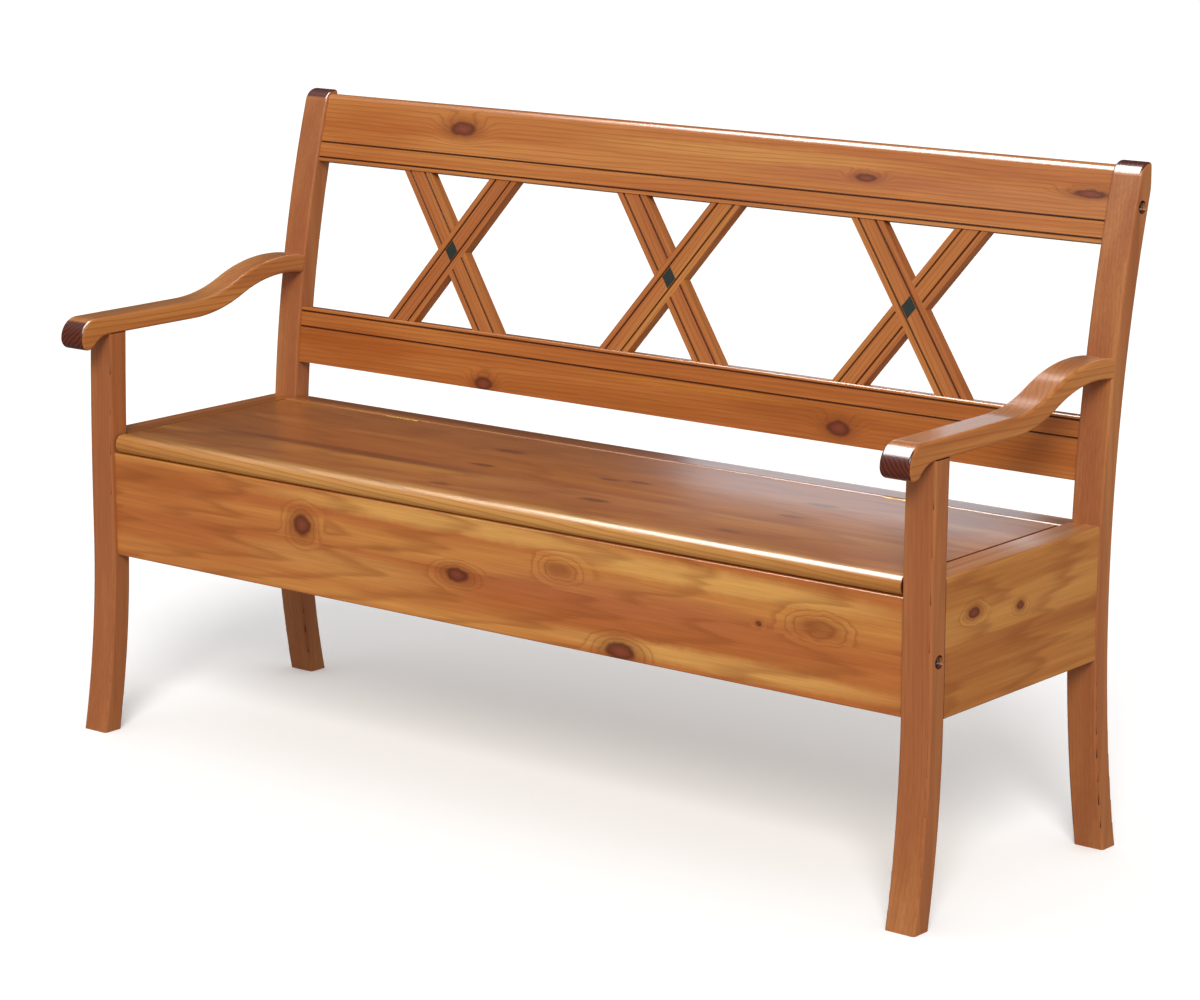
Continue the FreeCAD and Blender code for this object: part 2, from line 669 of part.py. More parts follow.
def backRail(label, middle, tall, rounding, groovesUp):
    """A rail across the back. Returns what places a point of its section."""
    body = newBody(label)
    tilt = "asin((%s - size.kneeHeight) / (size.rakeRadius + %s))" % (middle, halfDepth)
    face = "(%s + size.railBack / cos(%s))" % (postFront(middle), tilt)
    half = "(%s / 2)" % tall
    sketch = newSketch(body, label + "End", "YZ_Plane", [("x", face), ("y", middle)],
                       Vector(0, 0, 1), "-" + tilt)
    grooves = []
    for distance in ("size.beadFar", "size.beadNear"):
        level = "%s - %s" % (distance, half)
        if groovesUp:
            level = "%s - %s" % (half, distance)
        grooves.append([("0", level + " + size.grooveWide / 2"), ("size.grooveDeep", level),
                        ("0", level + " - size.grooveWide / 2")])
    if groovesUp:
        grooves.reverse()
    front = [("0", half)] + grooves[0] + grooves[1] + [("0", "-" + half)]
    outline(sketch, [("size.railThick", "-" + half), ("size.railThick", half)] + front)
    pad(body, sketch, "2 * " + legInner, middle=True)
    rail = {"body": body, "tilt": tilt, "face": face, "middle": middle, "half": half}
    crownY, crownZ = (number(value) for value in railPoint(rail, "0", half))
    roundOver(body, lambda m, a: alongX(a) and math.hypot(m.y - crownY, m.z - crownZ) < NEAR,
              rounding, label + "Crown")
    parts[label] = body
    return rail


def railPoint(rail, deep, up):
    """Y and Z of a point behind the rail's front face and above its middle, along its own slope."""
    y = "(%s + %s * cos(%s) + %s * sin(%s))" % (rail["face"], deep, rail["tilt"], up, rail["tilt"])
    z = "(%s - %s * sin(%s) + %s * cos(%s))" % (rail["middle"], deep, rail["tilt"], up, rail["tilt"])
    return y, z


topRail = backRail("top_rail", "size.topRailMid", "size.topRailTall", "size.topRailRound", False)
midRail = backRail("middle_rail", "size.midRailMid", "size.midRailTall", "size.midRailRound", True)

# Braces: three crosses of half-lapped slats, in the sloping plane between the two rails
lowY, lowZ = railPoint(midRail, "size.railThick / 2", midRail["half"])
highY, highZ = railPoint(topRail, "size.railThick / 2", "(-%s)" % topRail["half"])
braceRake = "atan((%s - %s) / (%s - %s))" % (highY, lowY, highZ, lowZ)
braceLong = "(sqrt((%s - %s)^2 + (%s - %s)^2))" % (highY, lowY, highZ, lowZ)
braceY = "((%s + %s) / 2)" % (lowY, highY)
braceZ = "((%s + %s) / 2)" % (lowZ, highZ)
braceSlope = "(size.braceSpread / %s)" % braceLong
braceHalf = "(size.braceThick / 2)"


def braceSketch(body, name, forward):
    """A sketch in the sloping plane, moved forward from the slats' middle."""
    shift = [("y", "%s + (%s) * sin(%s)" % (braceZ, forward, braceRake)),
             ("z", "-(%s - (%s) * cos(%s))" % (braceY, forward, braceRake))]
    return newSketch(body, name, "XZ_Plane", shift, Vector(1, 0, 0), "-" + braceRake)


def band(sketch, x, lean, wide, reach, offset="0"):
    """A strip along a slat's own line, with level ends at a distance above and below the crossing."""
    half = "(%s / 2 * sqrt(1 + %s^2))" % (wide, braceSlope)
    shift = "(%s + (%s) * sqrt(1 + %s^2))" % (x, offset, braceSlope)
    run = "(%d * %s * %s)" % (lean, braceSlope, reach)
    outline(sketch, [
        ("%s - %s - %s" % (shift, run, half), "-%s" % reach),
        ("%s - %s + %s" % (shift, run, half), "-%s" % reach),
        ("%s + %s + %s" % (shift, run, half), reach),
        ("%s + %s - %s" % (shift, run, half), reach),
    ])


def braceSlat(label, x, lean, whole):
    """A slat that rises to the right or falls to it, with the front or the back whole at the lap."""
    body = newBody(label)
    name = plain(label)
    reach = "(%s / 2 + size.braceThick / 2)" % braceLong
    sketch = braceSketch(body, name + "Plane", "0")
    band(sketch, x, lean, "size.braceWide", reach)
    pad(body, sketch, "size.braceThick", middle=True)
    for rail, edge, away in ((topRail, "-" + topRail["half"], "+"), (midRail, midRail["half"], "-")):
        end = newSketch(body, "%s%sEnd" % (name, rail["body"].Label), "YZ_Plane",
                        [("x", rail["face"]), ("y", rail["middle"]), ("z", x)],
                        Vector(0, 0, 1), "-" + rail["tilt"])
        rectangle(end, "-size.railThick", "2 * size.railThick", edge,
                  "(%s %s 2 * size.braceThick)" % (edge, away))
        cut(body, end, "2 * size.bracePitch", middle=True)
    beadPlace = "(size.braceWide / 2 - size.braceBead)"
    for count, offset in enumerate((beadPlace, "-" + beadPlace)):
        groove = braceSketch(body, "%sGroove%d" % (name, count), braceHalf)
        band(groove, x, lean, "size.grooveWide", reach, offset)
        cut(body, groove, "2 * size.grooveDeep", middle=True)
    lap = braceSketch(body, name + "Lap", "-%s" % braceHalf if whole else braceHalf)
    band(lap, x, -lean, "size.braceWide", "size.braceWide")
    cut(body, lap, "size.braceThick", middle=True)
    parts[label] = body
    return body


def diamond(sketch, x):
    """The inlay's outline: its sides run along the two slats."""
    half = "(size.inlayWide / 2 * sqrt(1 + %s^2))" % braceSlope
    outline(sketch, [
        ("%s - %s" % (x, half), "0"), (x, "-%s / %s" % (half, braceSlope)),
        ("%s + %s" % (x, half), "0"), (x, "%s / %s" % (half, braceSlope)),
    ])


CROSSES = (("left", "-size.bracePitch", "rising"), ("middle", "0", "rising"),
           ("right", "size.bracePitch", "falling"))
for word, x, wholeInFront in CROSSES:
    slats = {}
    for name, lean in (("rising", 1), ("falling", -1)):
        whole = name == wholeInFront
        slats[whole] = braceSlat("%s_cross_%s_slat" % (word, name), x, lean, whole)
    recess = braceSketch(slats[True], word + "InlayRecess", braceHalf)
    diamond(recess, x)
    cut(slats[True], recess, "2 * (size.inlayThick - size.inlayProud)", middle=True)
    inlay = newBody(word + "_diamond_inlay")
    sketch = braceSketch(inlay, word + "InlayFace", "%s + size.inlayProud - size.inlayThick" % braceHalf)
    diamond(sketch, x)
    pad(inlay, sketch, "size.inlayThick")
    parts[inlay.Label] = inlay

# Hinges: two butt hinges in the seam, their knuckles sunk flush with the seat
HINGE_KNUCKLES = 5
knuckleLong = "((size.hingeLong - %d * size.knuckleGap) / %d)" % (HINGE_KNUCKLES - 1, HINGE_KNUCKLES)
leafBottom = "(%s - size.hingeTall)" % pinLevel


def hingeLeaf(label, x, face, own, across):
    """A leaf: a stepped plate against the wood, and its own knuckles round the pin."""
    body = newBody(label)
    name = plain(label)
    plate = newSketch(body, name + "Plate", "XZ_Plane", [("z", "-%s" % face)])
    joined = "(%s - size.knuckle / 2 + size.leafThick / 2)" % pinLevel
    clear = "(%s - size.knuckle / 2 - size.leafPlay)" % pinLevel
    left = "(%s - size.hingeLong / 2)" % x
    right = "(%s + size.hingeLong / 2)" % x
    last = HINGE_KNUCKLES - 1
    corners = [(left, leafBottom), (right, leafBottom)]
    if last not in own:
        corners.append((right, clear))
    for index in reversed(own):
        start = "%s + %d * (%s + size.knuckleGap)" % (left, index, knuckleLong)
        end = "%s + %s" % (start, knuckleLong)
        if index != last:
            corners.append((end, clear))
        corners += [(end, joined), (start, joined)]
        if index != 0:
            corners.append((start, clear))
    if 0 not in own:
        corners.append((left, clear))
    outline(plate, corners)
    pad(body, plate, "size.leafThick")
    for index in own:
        start = "%s + %d * (%s + size.knuckleGap)" % (left, index, knuckleLong)
        ring = newSketch(body, "%sKnuckle%d" % (name, index), "YZ_Plane", [("z", start)])
        disc(ring, pinPlace, pinLevel, "size.knuckle")
        pad(body, ring, knuckleLong)
    bore(body, "X", (x, pinPlace, pinLevel), across, "2 * size.hingeLong", name + "Bore")
    parts[label] = body


FIXED_KNUCKLES = (0, 2, 4)
MOVING_KNUCKLES = (1, 3)
for word, x in HINGES:
    hingeLeaf(word + "_hinge_fixed_leaf", x, seamRear, FIXED_KNUCKLES, "size.hingePin")
    hingeLeaf(word + "_hinge_moving_leaf", x, "(%s + size.leafThick)" % lidRear, MOVING_KNUCKLES,
              "size.hingePin + 2 * size.pinPlay")
    pin = solid("Cylinder", word + "_hinge_pin", ("%s - size.hingeLong / 2" % x, pinPlace, pinLevel), "X",
                Radius="size.hingePin / 2", Height="size.hingeLong")
    parts[word + "_hinge_pin"] = pin

# Bolts: a flat head with a hexagon socket, sunk in the leg, and a barrel nut in the rail or apron
bolts = []
nuts = []
SOCKET_SIDES = 6


def boltJoint(side, name, leg, rail, y, z, tilt):
    """A bolt through a leg into a rail, at a level of its own, with the nut across the rail."""
    sign = "-" if side < 0 else ""
    outerFace = "(%s%s)" % (sign, legOuter)
    innerFace = "(%s%s)" % (sign, legInner)
    inward = "X" if side < 0 else "-X"
    headTop = "(%s - %d * size.boltSink)" % (outerFace, side)
    headSeat = "(%s - %d * size.boltHeadThick)" % (headTop, side)
    nutX = "(%s - %d * size.nutPlace)" % (innerFace, side)
    hole = "size.boltShank + 2 * size.boltPlay"
    sink = "2 * (size.boltSink + size.boltHeadThick)"
    bore(leg, "X", (outerFace, y, z), "size.boltHole", sink, name + "Sink")
    bore(leg, "X", ("(%s%s)" % (sign, legMiddle), y, z), hole, "2 * size.legWidth", name + "Way")
    bore(rail, "X", (innerFace, y, z), hole, "2 * (size.boltReach + size.dowelEnd)", name + "Depth")
    nutPlane = [("y", z), ("z", "-(%s)" % y)]
    pocket = newSketch(rail, name + "NutHole", "XZ_Plane", nutPlane, Vector(1, 0, 0), tilt)
    disc(pocket, nutX, "0", "size.nutAcross")
    cut(rail, pocket, "size.nutLong", middle=True)
    way = newSketch(rail, name + "NutWay", "XZ_Plane", nutPlane, Vector(1, 0, 0), tilt)
    disc(way, nutX, "0", "size.nutAcross")
    cut(rail, way, "size.boardThick")
    head = solid("Cylinder", name + "Head", (headTop, y, z), inward,
                 Radius="size.boltHead / 2", Height="size.boltHeadThick")
    shank = solid("Cylinder", name + "Shank", (headSeat, y, z), inward, Radius="size.boltShank / 2",
                  Height="size.legWidth - size.boltSink - size.boltHeadThick + size.boltReach")
    whole = doc.addObject("Part::Fuse", name + "Whole")
    whole.Base = head
    whole.Tool = shank
    socket = solid("Prism", name + "Socket", (headTop, y, z), inward,
                   Circumradius="size.socketSize / sqrt(3)", Height="size.socketDeep")
    socket.Polygon = SOCKET_SIDES
    bolt = doc.addObject("Part::Cut", name + "Bolt")
    bolt.Base = whole
    bolt.Tool = socket
    bolts.append(bolt)
    barrelY = "%s - size.nutLong / 2 * cos(%s)" % (y, tilt)
    barrelZ = "%s - size.nutLong / 2 * sin(%s)" % (z, tilt)
    barrel = solid("Cylinder", name + "Barrel", (nutX, barrelY, barrelZ), "Y",
                   Radius="size.nutAcross / 2", Height="size.nutLong")
    barrel.setExpression("Placement.Rotation.Angle", "90 deg - (%s)" % tilt)
    thread = solid("Cylinder", name + "Thread", ("%s - size.nutAcross" % nutX, y, z), "X",
                   Radius="size.boltShank / 2", Height="2 * size.nutAcross")
    nut = doc.addObject("Part::Cut", name + "Nut")
    nut.Base = barrel
    nut.Tool = thread
    nuts.append(nut)


for word, side in SIDES:
    boltJoint(side, word + "Apron", parts[word + "_front_leg"], parts["front_apron"],
              apronMiddle, boxMiddle, "0 deg")
    topY, topZ = railPoint(topRail, "size.railThick / 2", "0")
    boltJoint(side, word + "TopRail", parts[word + "_rear_post"], topRail["body"],
              topY, topZ, "-" + topRail["tilt"])

# Dowels of the box, of the back and of the arms, two at each joint
legTopY = backwards("size.kneeFront", "size.leanRadius", "0", "size.armUnder")
armEndY = postFront("(%s + size.armRise)" % armMiddle)
armEndZ = crestLevel(armEndY, "size.armBend")
for word, side in SIDES:
    sign = "-" if side < 0 else ""
    innerFace = "(%s%s)" % (sign, legInner)
    leg = parts[word + "_front_leg"]
    post = parts[word + "_rear_post"]
    arm = parts[word + "_armrest"]
    panel = parts[word + "_side_panel"]
    panelX = "(%s(%s - size.boardThick / 2))" % (sign, panelOuter)
    armX = "(%s%s)" % (sign, legMiddle)
    for way, level in ((-1, "(size.panelBottom + size.dowelEdge)"), (1, "(%s - size.dowelEdge)" % lidUnder)):
        dowelJoint("box_dowels", "X", (innerFace, apronMiddle, level), leg, parts["front_apron"])
        dowelJoint("box_dowels", "X", (innerFace, railMiddle, level), post, parts["rear_rail"])
        dowelJoint("box_dowels", "Y", (panelX, legBack(level), level), leg, panel)
        dowelJoint("box_dowels", "Y", (panelX, postFront(level), level), post, panel)
        for rail, edge in ((topRail, "size.topDowelEdge"), (midRail, "size.midDowelEdge")):
            y, z = railPoint(rail, "size.railThick / 2", "(%d * (%s - %s))" % (way, rail["half"], edge))
            dowelJoint("back_dowels", "X", (innerFace, y, z), post, rail["body"])
        across = "(%s + %d * (size.legWidth / 2 - size.armDowelEdge))" % (armX, way)
        dowelJoint("arm_dowels", "Z", (across, legTopY, "size.armUnder"), leg, arm)
        dowelJoint("arm_dowels", "Y", (across, armEndY, armEndZ), post, arm)

for label, joints in dowels.items():
    pieces = []
    for count, (axis, place) in enumerate(joints):
        start = ["%s - size.dowelLong / 2" % value if axis == name else value
                 for name, value in zip("XYZ", place)]
        pieces.append(solid("Cylinder", "%sDowel%d" % (label, count), start, axis,
                            Radius="size.dowelAcross / 2", Height="size.dowelLong"))
    parts[label] = group(label, pieces)
parts["frame_bolts"] = group("frame_bolts", bolts)
parts["barrel_nuts"] = group("barrel_nuts", nuts)

# Every object has to be sound before a file is written
doc.recompute()
failed = [thing.Label for thing in doc.Objects if {"Invalid", "Error"} & set(thing.State)]
if failed:
    raise RuntimeError("failed: " + ", ".join(failed))
for name, piece in parts.items():
    if piece.Shape.isNull() or not piece.Shape.isValid():
        raise RuntimeError(name + " has no valid shape")
os.makedirs("parts", exist_ok=True)
for name, piece in parts.items():
    piece.Shape.exportStep("parts/%s.step" % name)
print("%d sub-parts written" % len(parts))
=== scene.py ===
import bpy
import math
from mathutils import Matrix, Vector


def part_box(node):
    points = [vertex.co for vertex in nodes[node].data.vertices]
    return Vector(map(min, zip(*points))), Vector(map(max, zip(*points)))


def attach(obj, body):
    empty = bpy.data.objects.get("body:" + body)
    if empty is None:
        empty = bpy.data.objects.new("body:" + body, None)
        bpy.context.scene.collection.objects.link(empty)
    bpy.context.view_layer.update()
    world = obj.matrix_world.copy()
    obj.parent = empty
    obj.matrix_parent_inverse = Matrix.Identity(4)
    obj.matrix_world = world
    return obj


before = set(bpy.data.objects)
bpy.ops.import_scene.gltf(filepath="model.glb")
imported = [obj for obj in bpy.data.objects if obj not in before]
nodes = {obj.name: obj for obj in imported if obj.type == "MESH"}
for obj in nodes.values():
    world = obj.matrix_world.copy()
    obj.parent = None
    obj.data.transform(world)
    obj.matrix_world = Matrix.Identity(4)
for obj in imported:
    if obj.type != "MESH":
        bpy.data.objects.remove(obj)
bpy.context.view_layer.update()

# Settle bench in stained and lacquered pine, in metres and in the CAD model's own frame

mm = 0.001

# Settings that many nodes share, and the sockets of a Mix node that mixes colours
mixColours = {"data_type": "RGBA"}
smooth = {"interpolation_type": "SMOOTHSTEP"}
multiplyAdd = {"operation": "MULTIPLY_ADD"}
least = {"operation": "MINIMUM"}
length = {"operation": "LENGTH"}
centredOn = {"vector_type": "TEXTURE"}
colourA = 6
colourB = 7
mixedColour = 2


def linearColour(text):  # sRGB hex to the linear colour of a shader's socket
    parts = [int(text[i:i + 2], 16) / 255 for i in (1, 3, 5)]
    return tuple(p / 12.92 if p <= 0.04045 else ((p + 0.055) / 1.055) ** 2.4 for p in parts) + (1,)


# An input is a plain value, a socket, or a node whose first output is meant
def addNode(tree, kind, settings=None, inputs=None):
    node = tree.nodes.new("ShaderNode" + kind)
    for key, value in (settings or {}).items():
        setattr(node, key, value)
    for key, value in (inputs or {}).items():
        if isinstance(value, bpy.types.Node):
            value = value.outputs[0]
        if isinstance(value, bpy.types.NodeSocket):
            tree.links.new(value, node.inputs[key])
        else:
            node.inputs[key].default_value = value
    return node


def setRamp(node, stops):  # stops are (position, hex)
    elements = node.color_ramp.elements
    while len(elements) < len(stops):
        elements.new(1)
    for element, (place, colour) in zip(elements, stops):
        element.position = place
        element.color = linearColour(colour)


def newMaterial(name):
    material = bpy.data.materials.new(name)
    material.use_nodes = True
    material.node_tree.nodes.clear()
    return material, material.node_tree


def dress(nodeName, material):
    slots = nodes[nodeName].data.materials
    slots.clear()
    slots.append(material)


# The turn that lays the grain on X, the width of the face on Y and the face's normal on Z
def grainTurn(along, face):
    along = Vector(along).normalized()
    face = Vector(face).normalized()
    return Matrix((along, face.cross(along), face))


# Scale of a noise whose spots are so long along the grain and so wide across it
def spotScale(size):
    long, wide = size
    return (1 / long, 1 / wide, 1 / wide)


# Stained pine under clear lacquer. Plain-sawn boards show the year rings as long soft flames, pale
# yellow sapwood beside redder heartwood, and dark red knots that push the grain aside. End grain
# drinks the stain and goes nearly mahogany. The lacquer is a satin-gloss film. Rings are drawn about
# twice as wide as they grow, and fibres far wider, so that both show from a few steps away.
pine = {
    "heart": "#A05824",
    "middle": "#AA6228",
    "sap": "#B87638",
    "lateWood": "#84441A",
    "endGrain": "#4A1E14",
    "endRing": "#6A3020",
    "endSlope": (0.45, 0.6),
    # painted shade in the grooves' recesses: its colour, its soft edge and its strength
    "groove": "#4E240E",
    "grooveEdge": (2.3 * mm, 1.3 * mm),
    "grooveAmount": 0.9,
    "ringSpacing": 6.5 * mm,
    "ringTone": ((0, "#000000"), (0.5, "#606060"), (0.82, "#FFFFFF"), (1, "#000000")),
    "ringAmount": 0.42,
    "ripple": 0.9,
    "rippleSpots": (333.3 * mm, 25 * mm),
    "wander": 14 * mm,
    "wanderSpots": (769 * mm, 125 * mm),
    "pithAside": 30 * mm,
    "pithDeep": (20 * mm, 55 * mm),
    "pithSlope": 0.03,
    "bandSpots": (1250 * mm, 46 * mm),
    "streakSpots": (454.5 * mm, 13 * mm),
    "streakShare": 0.45,
    "toneRange": (0.55, 1.2),
    "staveTone": 0.3,
    "wholeBoard": 2000,
    "treeApart": 9,
    "fibreSpots": (83.3 * mm, 1.8 * mm),
    "fibreRange": (0.3, 0.7),
    "fibreShade": (0.9, 1.08),
    "tintEdge": (1.15, 0.35),
    "raggedScale": 55,
    "ragged": (9 * mm, 6 * mm, 0),
    "knotTone": ((0, "#7E3A26"), (0.6, "#6A2E1C"), (0.95, "#42190C")),
    "knotEdge": (1.3, 0.75),
    "knotAmount": 0.88,
    "halo": "#7E4019",
    "haloEdge": (2.6, 0.9),
    "haloAmount": 0.55,
    "pushEdge": (3.4, 0.3),
    "push": 20 * mm,
    "swirlEdge": (2.2, 0.8),
    "swirlAmount": 0.6,
    "relief": 0.3 * mm,
    "reliefStrength": 0.08,
    "reliefOfRings": 0.5,
    "roughness": 0.36,
    "roughnessSpread": 0.06,
    "index": 1.5,
    "specular": 0.2,
    "coat": 0.5,
    "coatRoughness": 0.16,
}


def pineMaterial(name, look):
    material, tree = newMaterial(name)
    seed = look["seed"]
    angles = grainTurn(*look["grain"]).to_euler("XYZ")

    # place on the board: along the grain, across the face, and into it
    coords = addNode(tree, "TexCoord")
    place = addNode(tree, "Mapping", None, {"Vector": coords.outputs["Object"], "Rotation": angles})
    facing = addNode(tree, "Mapping", None, {"Vector": coords.outputs["Normal"], "Rotation": angles})
    along, across, deep = addNode(tree, "SeparateXYZ", None, {0: place}).outputs
    flat = addNode(tree, "CombineXYZ", None, {0: along, 1: across})

    # each glued stave comes from another place in the tree
    stave = look.get("stave", pine["wholeBoard"]) * mm
    count = addNode(tree, "Math", multiplyAdd,
                    {0: across, 1: 1 / stave, 2: 0.5 - look.get("firstMiddle", 0) * mm / stave})
    index = addNode(tree, "Math", {"operation": "FLOOR"}, {0: count})
    inStave = addNode(tree, "Math", {"operation": "SUBTRACT"}, {0: count, 1: index})
    staveSeed = addNode(tree, "Math", {"operation": "ADD"}, {0: index, 1: seed * 7.3})
    chance = addNode(tree, "TexWhiteNoise", {"noise_dimensions": "1D"}, {"W": staveSeed})
    chances = addNode(tree, "SeparateColor", None, {0: chance.outputs["Color"]}).outputs
    shuffle = addNode(tree, "CombineXYZ", None, {0: chances[0], 1: 0, 2: chances[1]})
    inTree = addNode(tree, "VectorMath", multiplyAdd, {0: shuffle, 1: (pine["treeApart"],) * 3, 2: place})

    # knots and swirls: how far a point is from the nearest, in radii, on a ragged outline
    rough = addNode(tree, "TexNoise", None, {"Vector": flat, "Scale": pine["raggedScale"], "Detail": 2})
    back = tuple(-step / 2 for step in pine["ragged"])
    stray = addNode(tree, "VectorMath", multiplyAdd, {0: rough.outputs["Color"], 1: pine["ragged"], 2: back})
    raggedPlace = addNode(tree, "VectorMath", {"operation": "ADD"}, {0: flat, 1: stray})
    toKnot = None
    toTurn = None
    for kind in ("knots", "swirls"):
        for u, v, size, stretch in look.get(kind, ()):
            local = addNode(tree, "Mapping", centredOn,
                            {"Vector": raggedPlace, "Location": (u * mm, v * mm, 0),
                             "Scale": (size * stretch * mm, size * mm, 1)})
            radii = addNode(tree, "VectorMath", length, {0: local}).outputs["Value"]
            if toTurn is not None:
                radii = addNode(tree, "Math", least, {0: toTurn, 1: radii}).outputs[0]
            toTurn = radii
            if kind == "knots":
                toKnot = radii

    # year rings: the distance from a pith that lies below the face and wanders along the board
    slow = addNode(tree, "Mapping", None, {"Vector": inTree, "Scale": spotScale(pine["wanderSpots"]),
                                           "Location": (seed, seed * 2, 0)})
    wander = addNode(tree, "TexNoise", None, {"Vector": slow, "Scale": 1, "Detail": 1})
    bend = addNode(tree, "MapRange", None,
                   {"Value": wander, "To Min": -pine["wander"], "To Max": pine["wander"]})
    centred = addNode(tree, "MapRange", None, {"Value": inStave, "To Min": -stave / 2, "To Max": stave / 2})
    pithAside = addNode(tree, "MapRange", None,
                        {"Value": chances[0], "To Min": -pine["pithAside"], "To Max": pine["pithAside"]})
    aside = addNode(tree, "Math", {"operation": "ADD"}, {0: centred, 1: pithAside})
    swung = addNode(tree, "Math", {"operation": "ADD"}, {0: aside, 1: bend})
    nearPith, farPith = pine["pithDeep"]
    pithDeep = addNode(tree, "MapRange", None, {"Value": chances[2], "To Min": nearPith, "To Max": farPith})
    leaning = addNode(tree, "Math", multiplyAdd, {0: along, 1: pine["pithSlope"], 2: pithDeep})
    height = addNode(tree, "Math", {"operation": "ADD"}, {0: deep, 1: leaning})
    section = addNode(tree, "CombineXYZ", None, {0: swung, 1: height})
    radius = addNode(tree, "VectorMath", length, {0: section}).outputs["Value"]
    if toTurn is not None:
        outer, inner = pine["pushEdge"]
        push = addNode(tree, "MapRange", {"interpolation_type": "SMOOTHERSTEP"},
                       {"Value": toTurn, "From Min": outer, "From Max": inner, "To Max": pine["push"]})
        radius = addNode(tree, "Math", {"operation": "ADD"}, {0: radius, 1: push})
    soft = addNode(tree, "Mapping", None, {"Vector": inTree, "Scale": spotScale(pine["rippleSpots"])})
    softNoise = addNode(tree, "TexNoise", None, {"Vector": soft, "Scale": 1, "Detail": 2})
    ripple = addNode(tree, "MapRange", None,
                     {"Value": softNoise, "To Min": -pine["ripple"], "To Max": pine["ripple"]})
    phase = addNode(tree, "Math", multiplyAdd, {0: radius, 1: 1 / pine["ringSpacing"], 2: ripple})
    year = addNode(tree, "Math", {"operation": "FRACT"}, {0: phase})
    late = addNode(tree, "ValToRGB", None, {0: year})
    late.color_ramp.interpolation = "EASE"
    setRamp(late, pine["ringTone"])

    # pale sapwood, redder heartwood and the streaks between them
    broad = addNode(tree, "Mapping", None, {"Vector": inTree, "Scale": spotScale(pine["bandSpots"]),
                                            "Location": (seed * 3, seed, 0)})
    bands = addNode(tree, "TexNoise", None, {"Vector": broad, "Scale": 1, "Detail": 1})
    narrow = addNode(tree, "Mapping", None, {"Vector": inTree, "Scale": spotScale(pine["streakSpots"]),
                                             "Location": (seed * 5, seed, 0)})
    streaks = addNode(tree, "TexNoise", None, {"Vector": narrow, "Scale": 1, "Detail": 2})
    both = addNode(tree, "Math", multiplyAdd, {0: streaks, 1: pine["streakShare"], 2: bands})
    staveTone = look.get("staveTone", pine["staveTone"])
    toned = addNode(tree, "Math", multiplyAdd, {0: chances[1], 1: staveTone, 2: both})
    heartEnd, sapEnd = pine["toneRange"]
    tone = addNode(tree, "MapRange", smooth, {"Value": toned, "From Min": heartEnd, "From Max": sapEnd})
    early = addNode(tree, "ValToRGB", None, {0: tone})
    wood = [look.get(part, pine[part]) for part in ("heart", "middle", "sap")]
    setRamp(early, tuple(zip((0, 0.5, 1), wood)))
    colour = early.outputs[0]

    # tints listed per board, each an ellipse with a soft edge
    outer, inner = pine["tintEdge"]
    # most tints are the wood's own tone; on the lid one is a painted highlight and one a painted shadow
    for u, v, halfU, halfV, tint, strength in look.get("tintsAndPaintedLight", ()):
        local = addNode(tree, "Mapping", centredOn,
                        {"Vector": raggedPlace, "Location": (u * mm, v * mm, 0),
                         "Scale": (halfU * mm, halfV * mm, 1)})
        radii = addNode(tree, "VectorMath", length, {0: local}).outputs["Value"]
        amount = addNode(tree, "MapRange", smooth,
                         {"Value": radii, "From Min": outer, "From Max": inner, "To Max": strength})
        colour = addNode(tree, "Mix", mixColours, {"Factor": amount, colourA: colour,
                                                   colourB: linearColour(tint)}).outputs[mixedColour]

    # the rings show more in a swirl, and the fibres run all over
    figure = look.get("figure", pine["ringAmount"])
    if toTurn is not None:
        outer, inner = pine["swirlEdge"]
        figure = addNode(tree, "MapRange", smooth, {"Value": toTurn, "From Min": outer, "From Max": inner,
                                                    "To Min": figure, "To Max": pine["swirlAmount"]})
    ringAmount = addNode(tree, "Math", {"operation": "MULTIPLY"}, {0: late, 1: figure})
    colour = addNode(tree, "Mix", mixColours, {"Factor": ringAmount, colourA: colour,
                                               colourB: linearColour(pine["lateWood"])}).outputs[mixedColour]
    fine = addNode(tree, "Mapping", None, {"Vector": place, "Scale": spotScale(pine["fibreSpots"])})
    fibres = addNode(tree, "TexNoise", None, {"Vector": fine, "Scale": 1, "Detail": 2})
    low, high = pine["fibreRange"]
    darkest, palest = pine["fibreShade"]
    shading = addNode(tree, "MapRange", None, {"Value": fibres, "From Min": low, "From Max": high,
                                               "To Min": darkest, "To Max": palest})
    colour = addNode(tree, "VectorMath", {"operation": "SCALE"}, {0: colour, "Scale": shading}).outputs[0]

    if toKnot is not None:
        outer, inner = pine["haloEdge"]
        halo = addNode(tree, "MapRange", smooth, {"Value": toKnot, "From Min": outer, "From Max": inner,
                                                  "To Max": pine["haloAmount"]})
        colour = addNode(tree, "Mix", mixColours, {"Factor": halo, colourA: colour,
                                                   colourB: linearColour(pine["halo"])}).outputs[mixedColour]
        core = addNode(tree, "ValToRGB", None, {0: toKnot})
        setRamp(core, pine["knotTone"])
        outer, inner = pine["knotEdge"]
        inside = addNode(tree, "MapRange", smooth, {"Value": toKnot, "From Min": outer, "From Max": inner,
                                                    "To Max": pine["knotAmount"]})
        colour = addNode(tree, "Mix", mixColours,
                         {"Factor": inside, colourA: colour, colourB: core}).outputs[mixedColour]

    # end grain takes more stain, in arcs
    endwise = addNode(tree, "SeparateXYZ", None, {0: facing}).outputs[0]
    endSize = addNode(tree, "Math", {"operation": "ABSOLUTE"}, {0: endwise})
    sideOn, endOn = pine["endSlope"]
    endAmount = addNode(tree, "MapRange", smooth, {"Value": endSize, "From Min": sideOn, "From Max": endOn})
    endColour = addNode(tree, "Mix", mixColours, {"Factor": late, colourA: linearColour(pine["endGrain"]),
                                                  colourB: linearColour(pine["endRing"])})
    colour = addNode(tree, "Mix", mixColours,
                     {"Factor": endAmount, colourA: colour,
                      colourB: endColour.outputs[mixedColour]}).outputs[mixedColour]
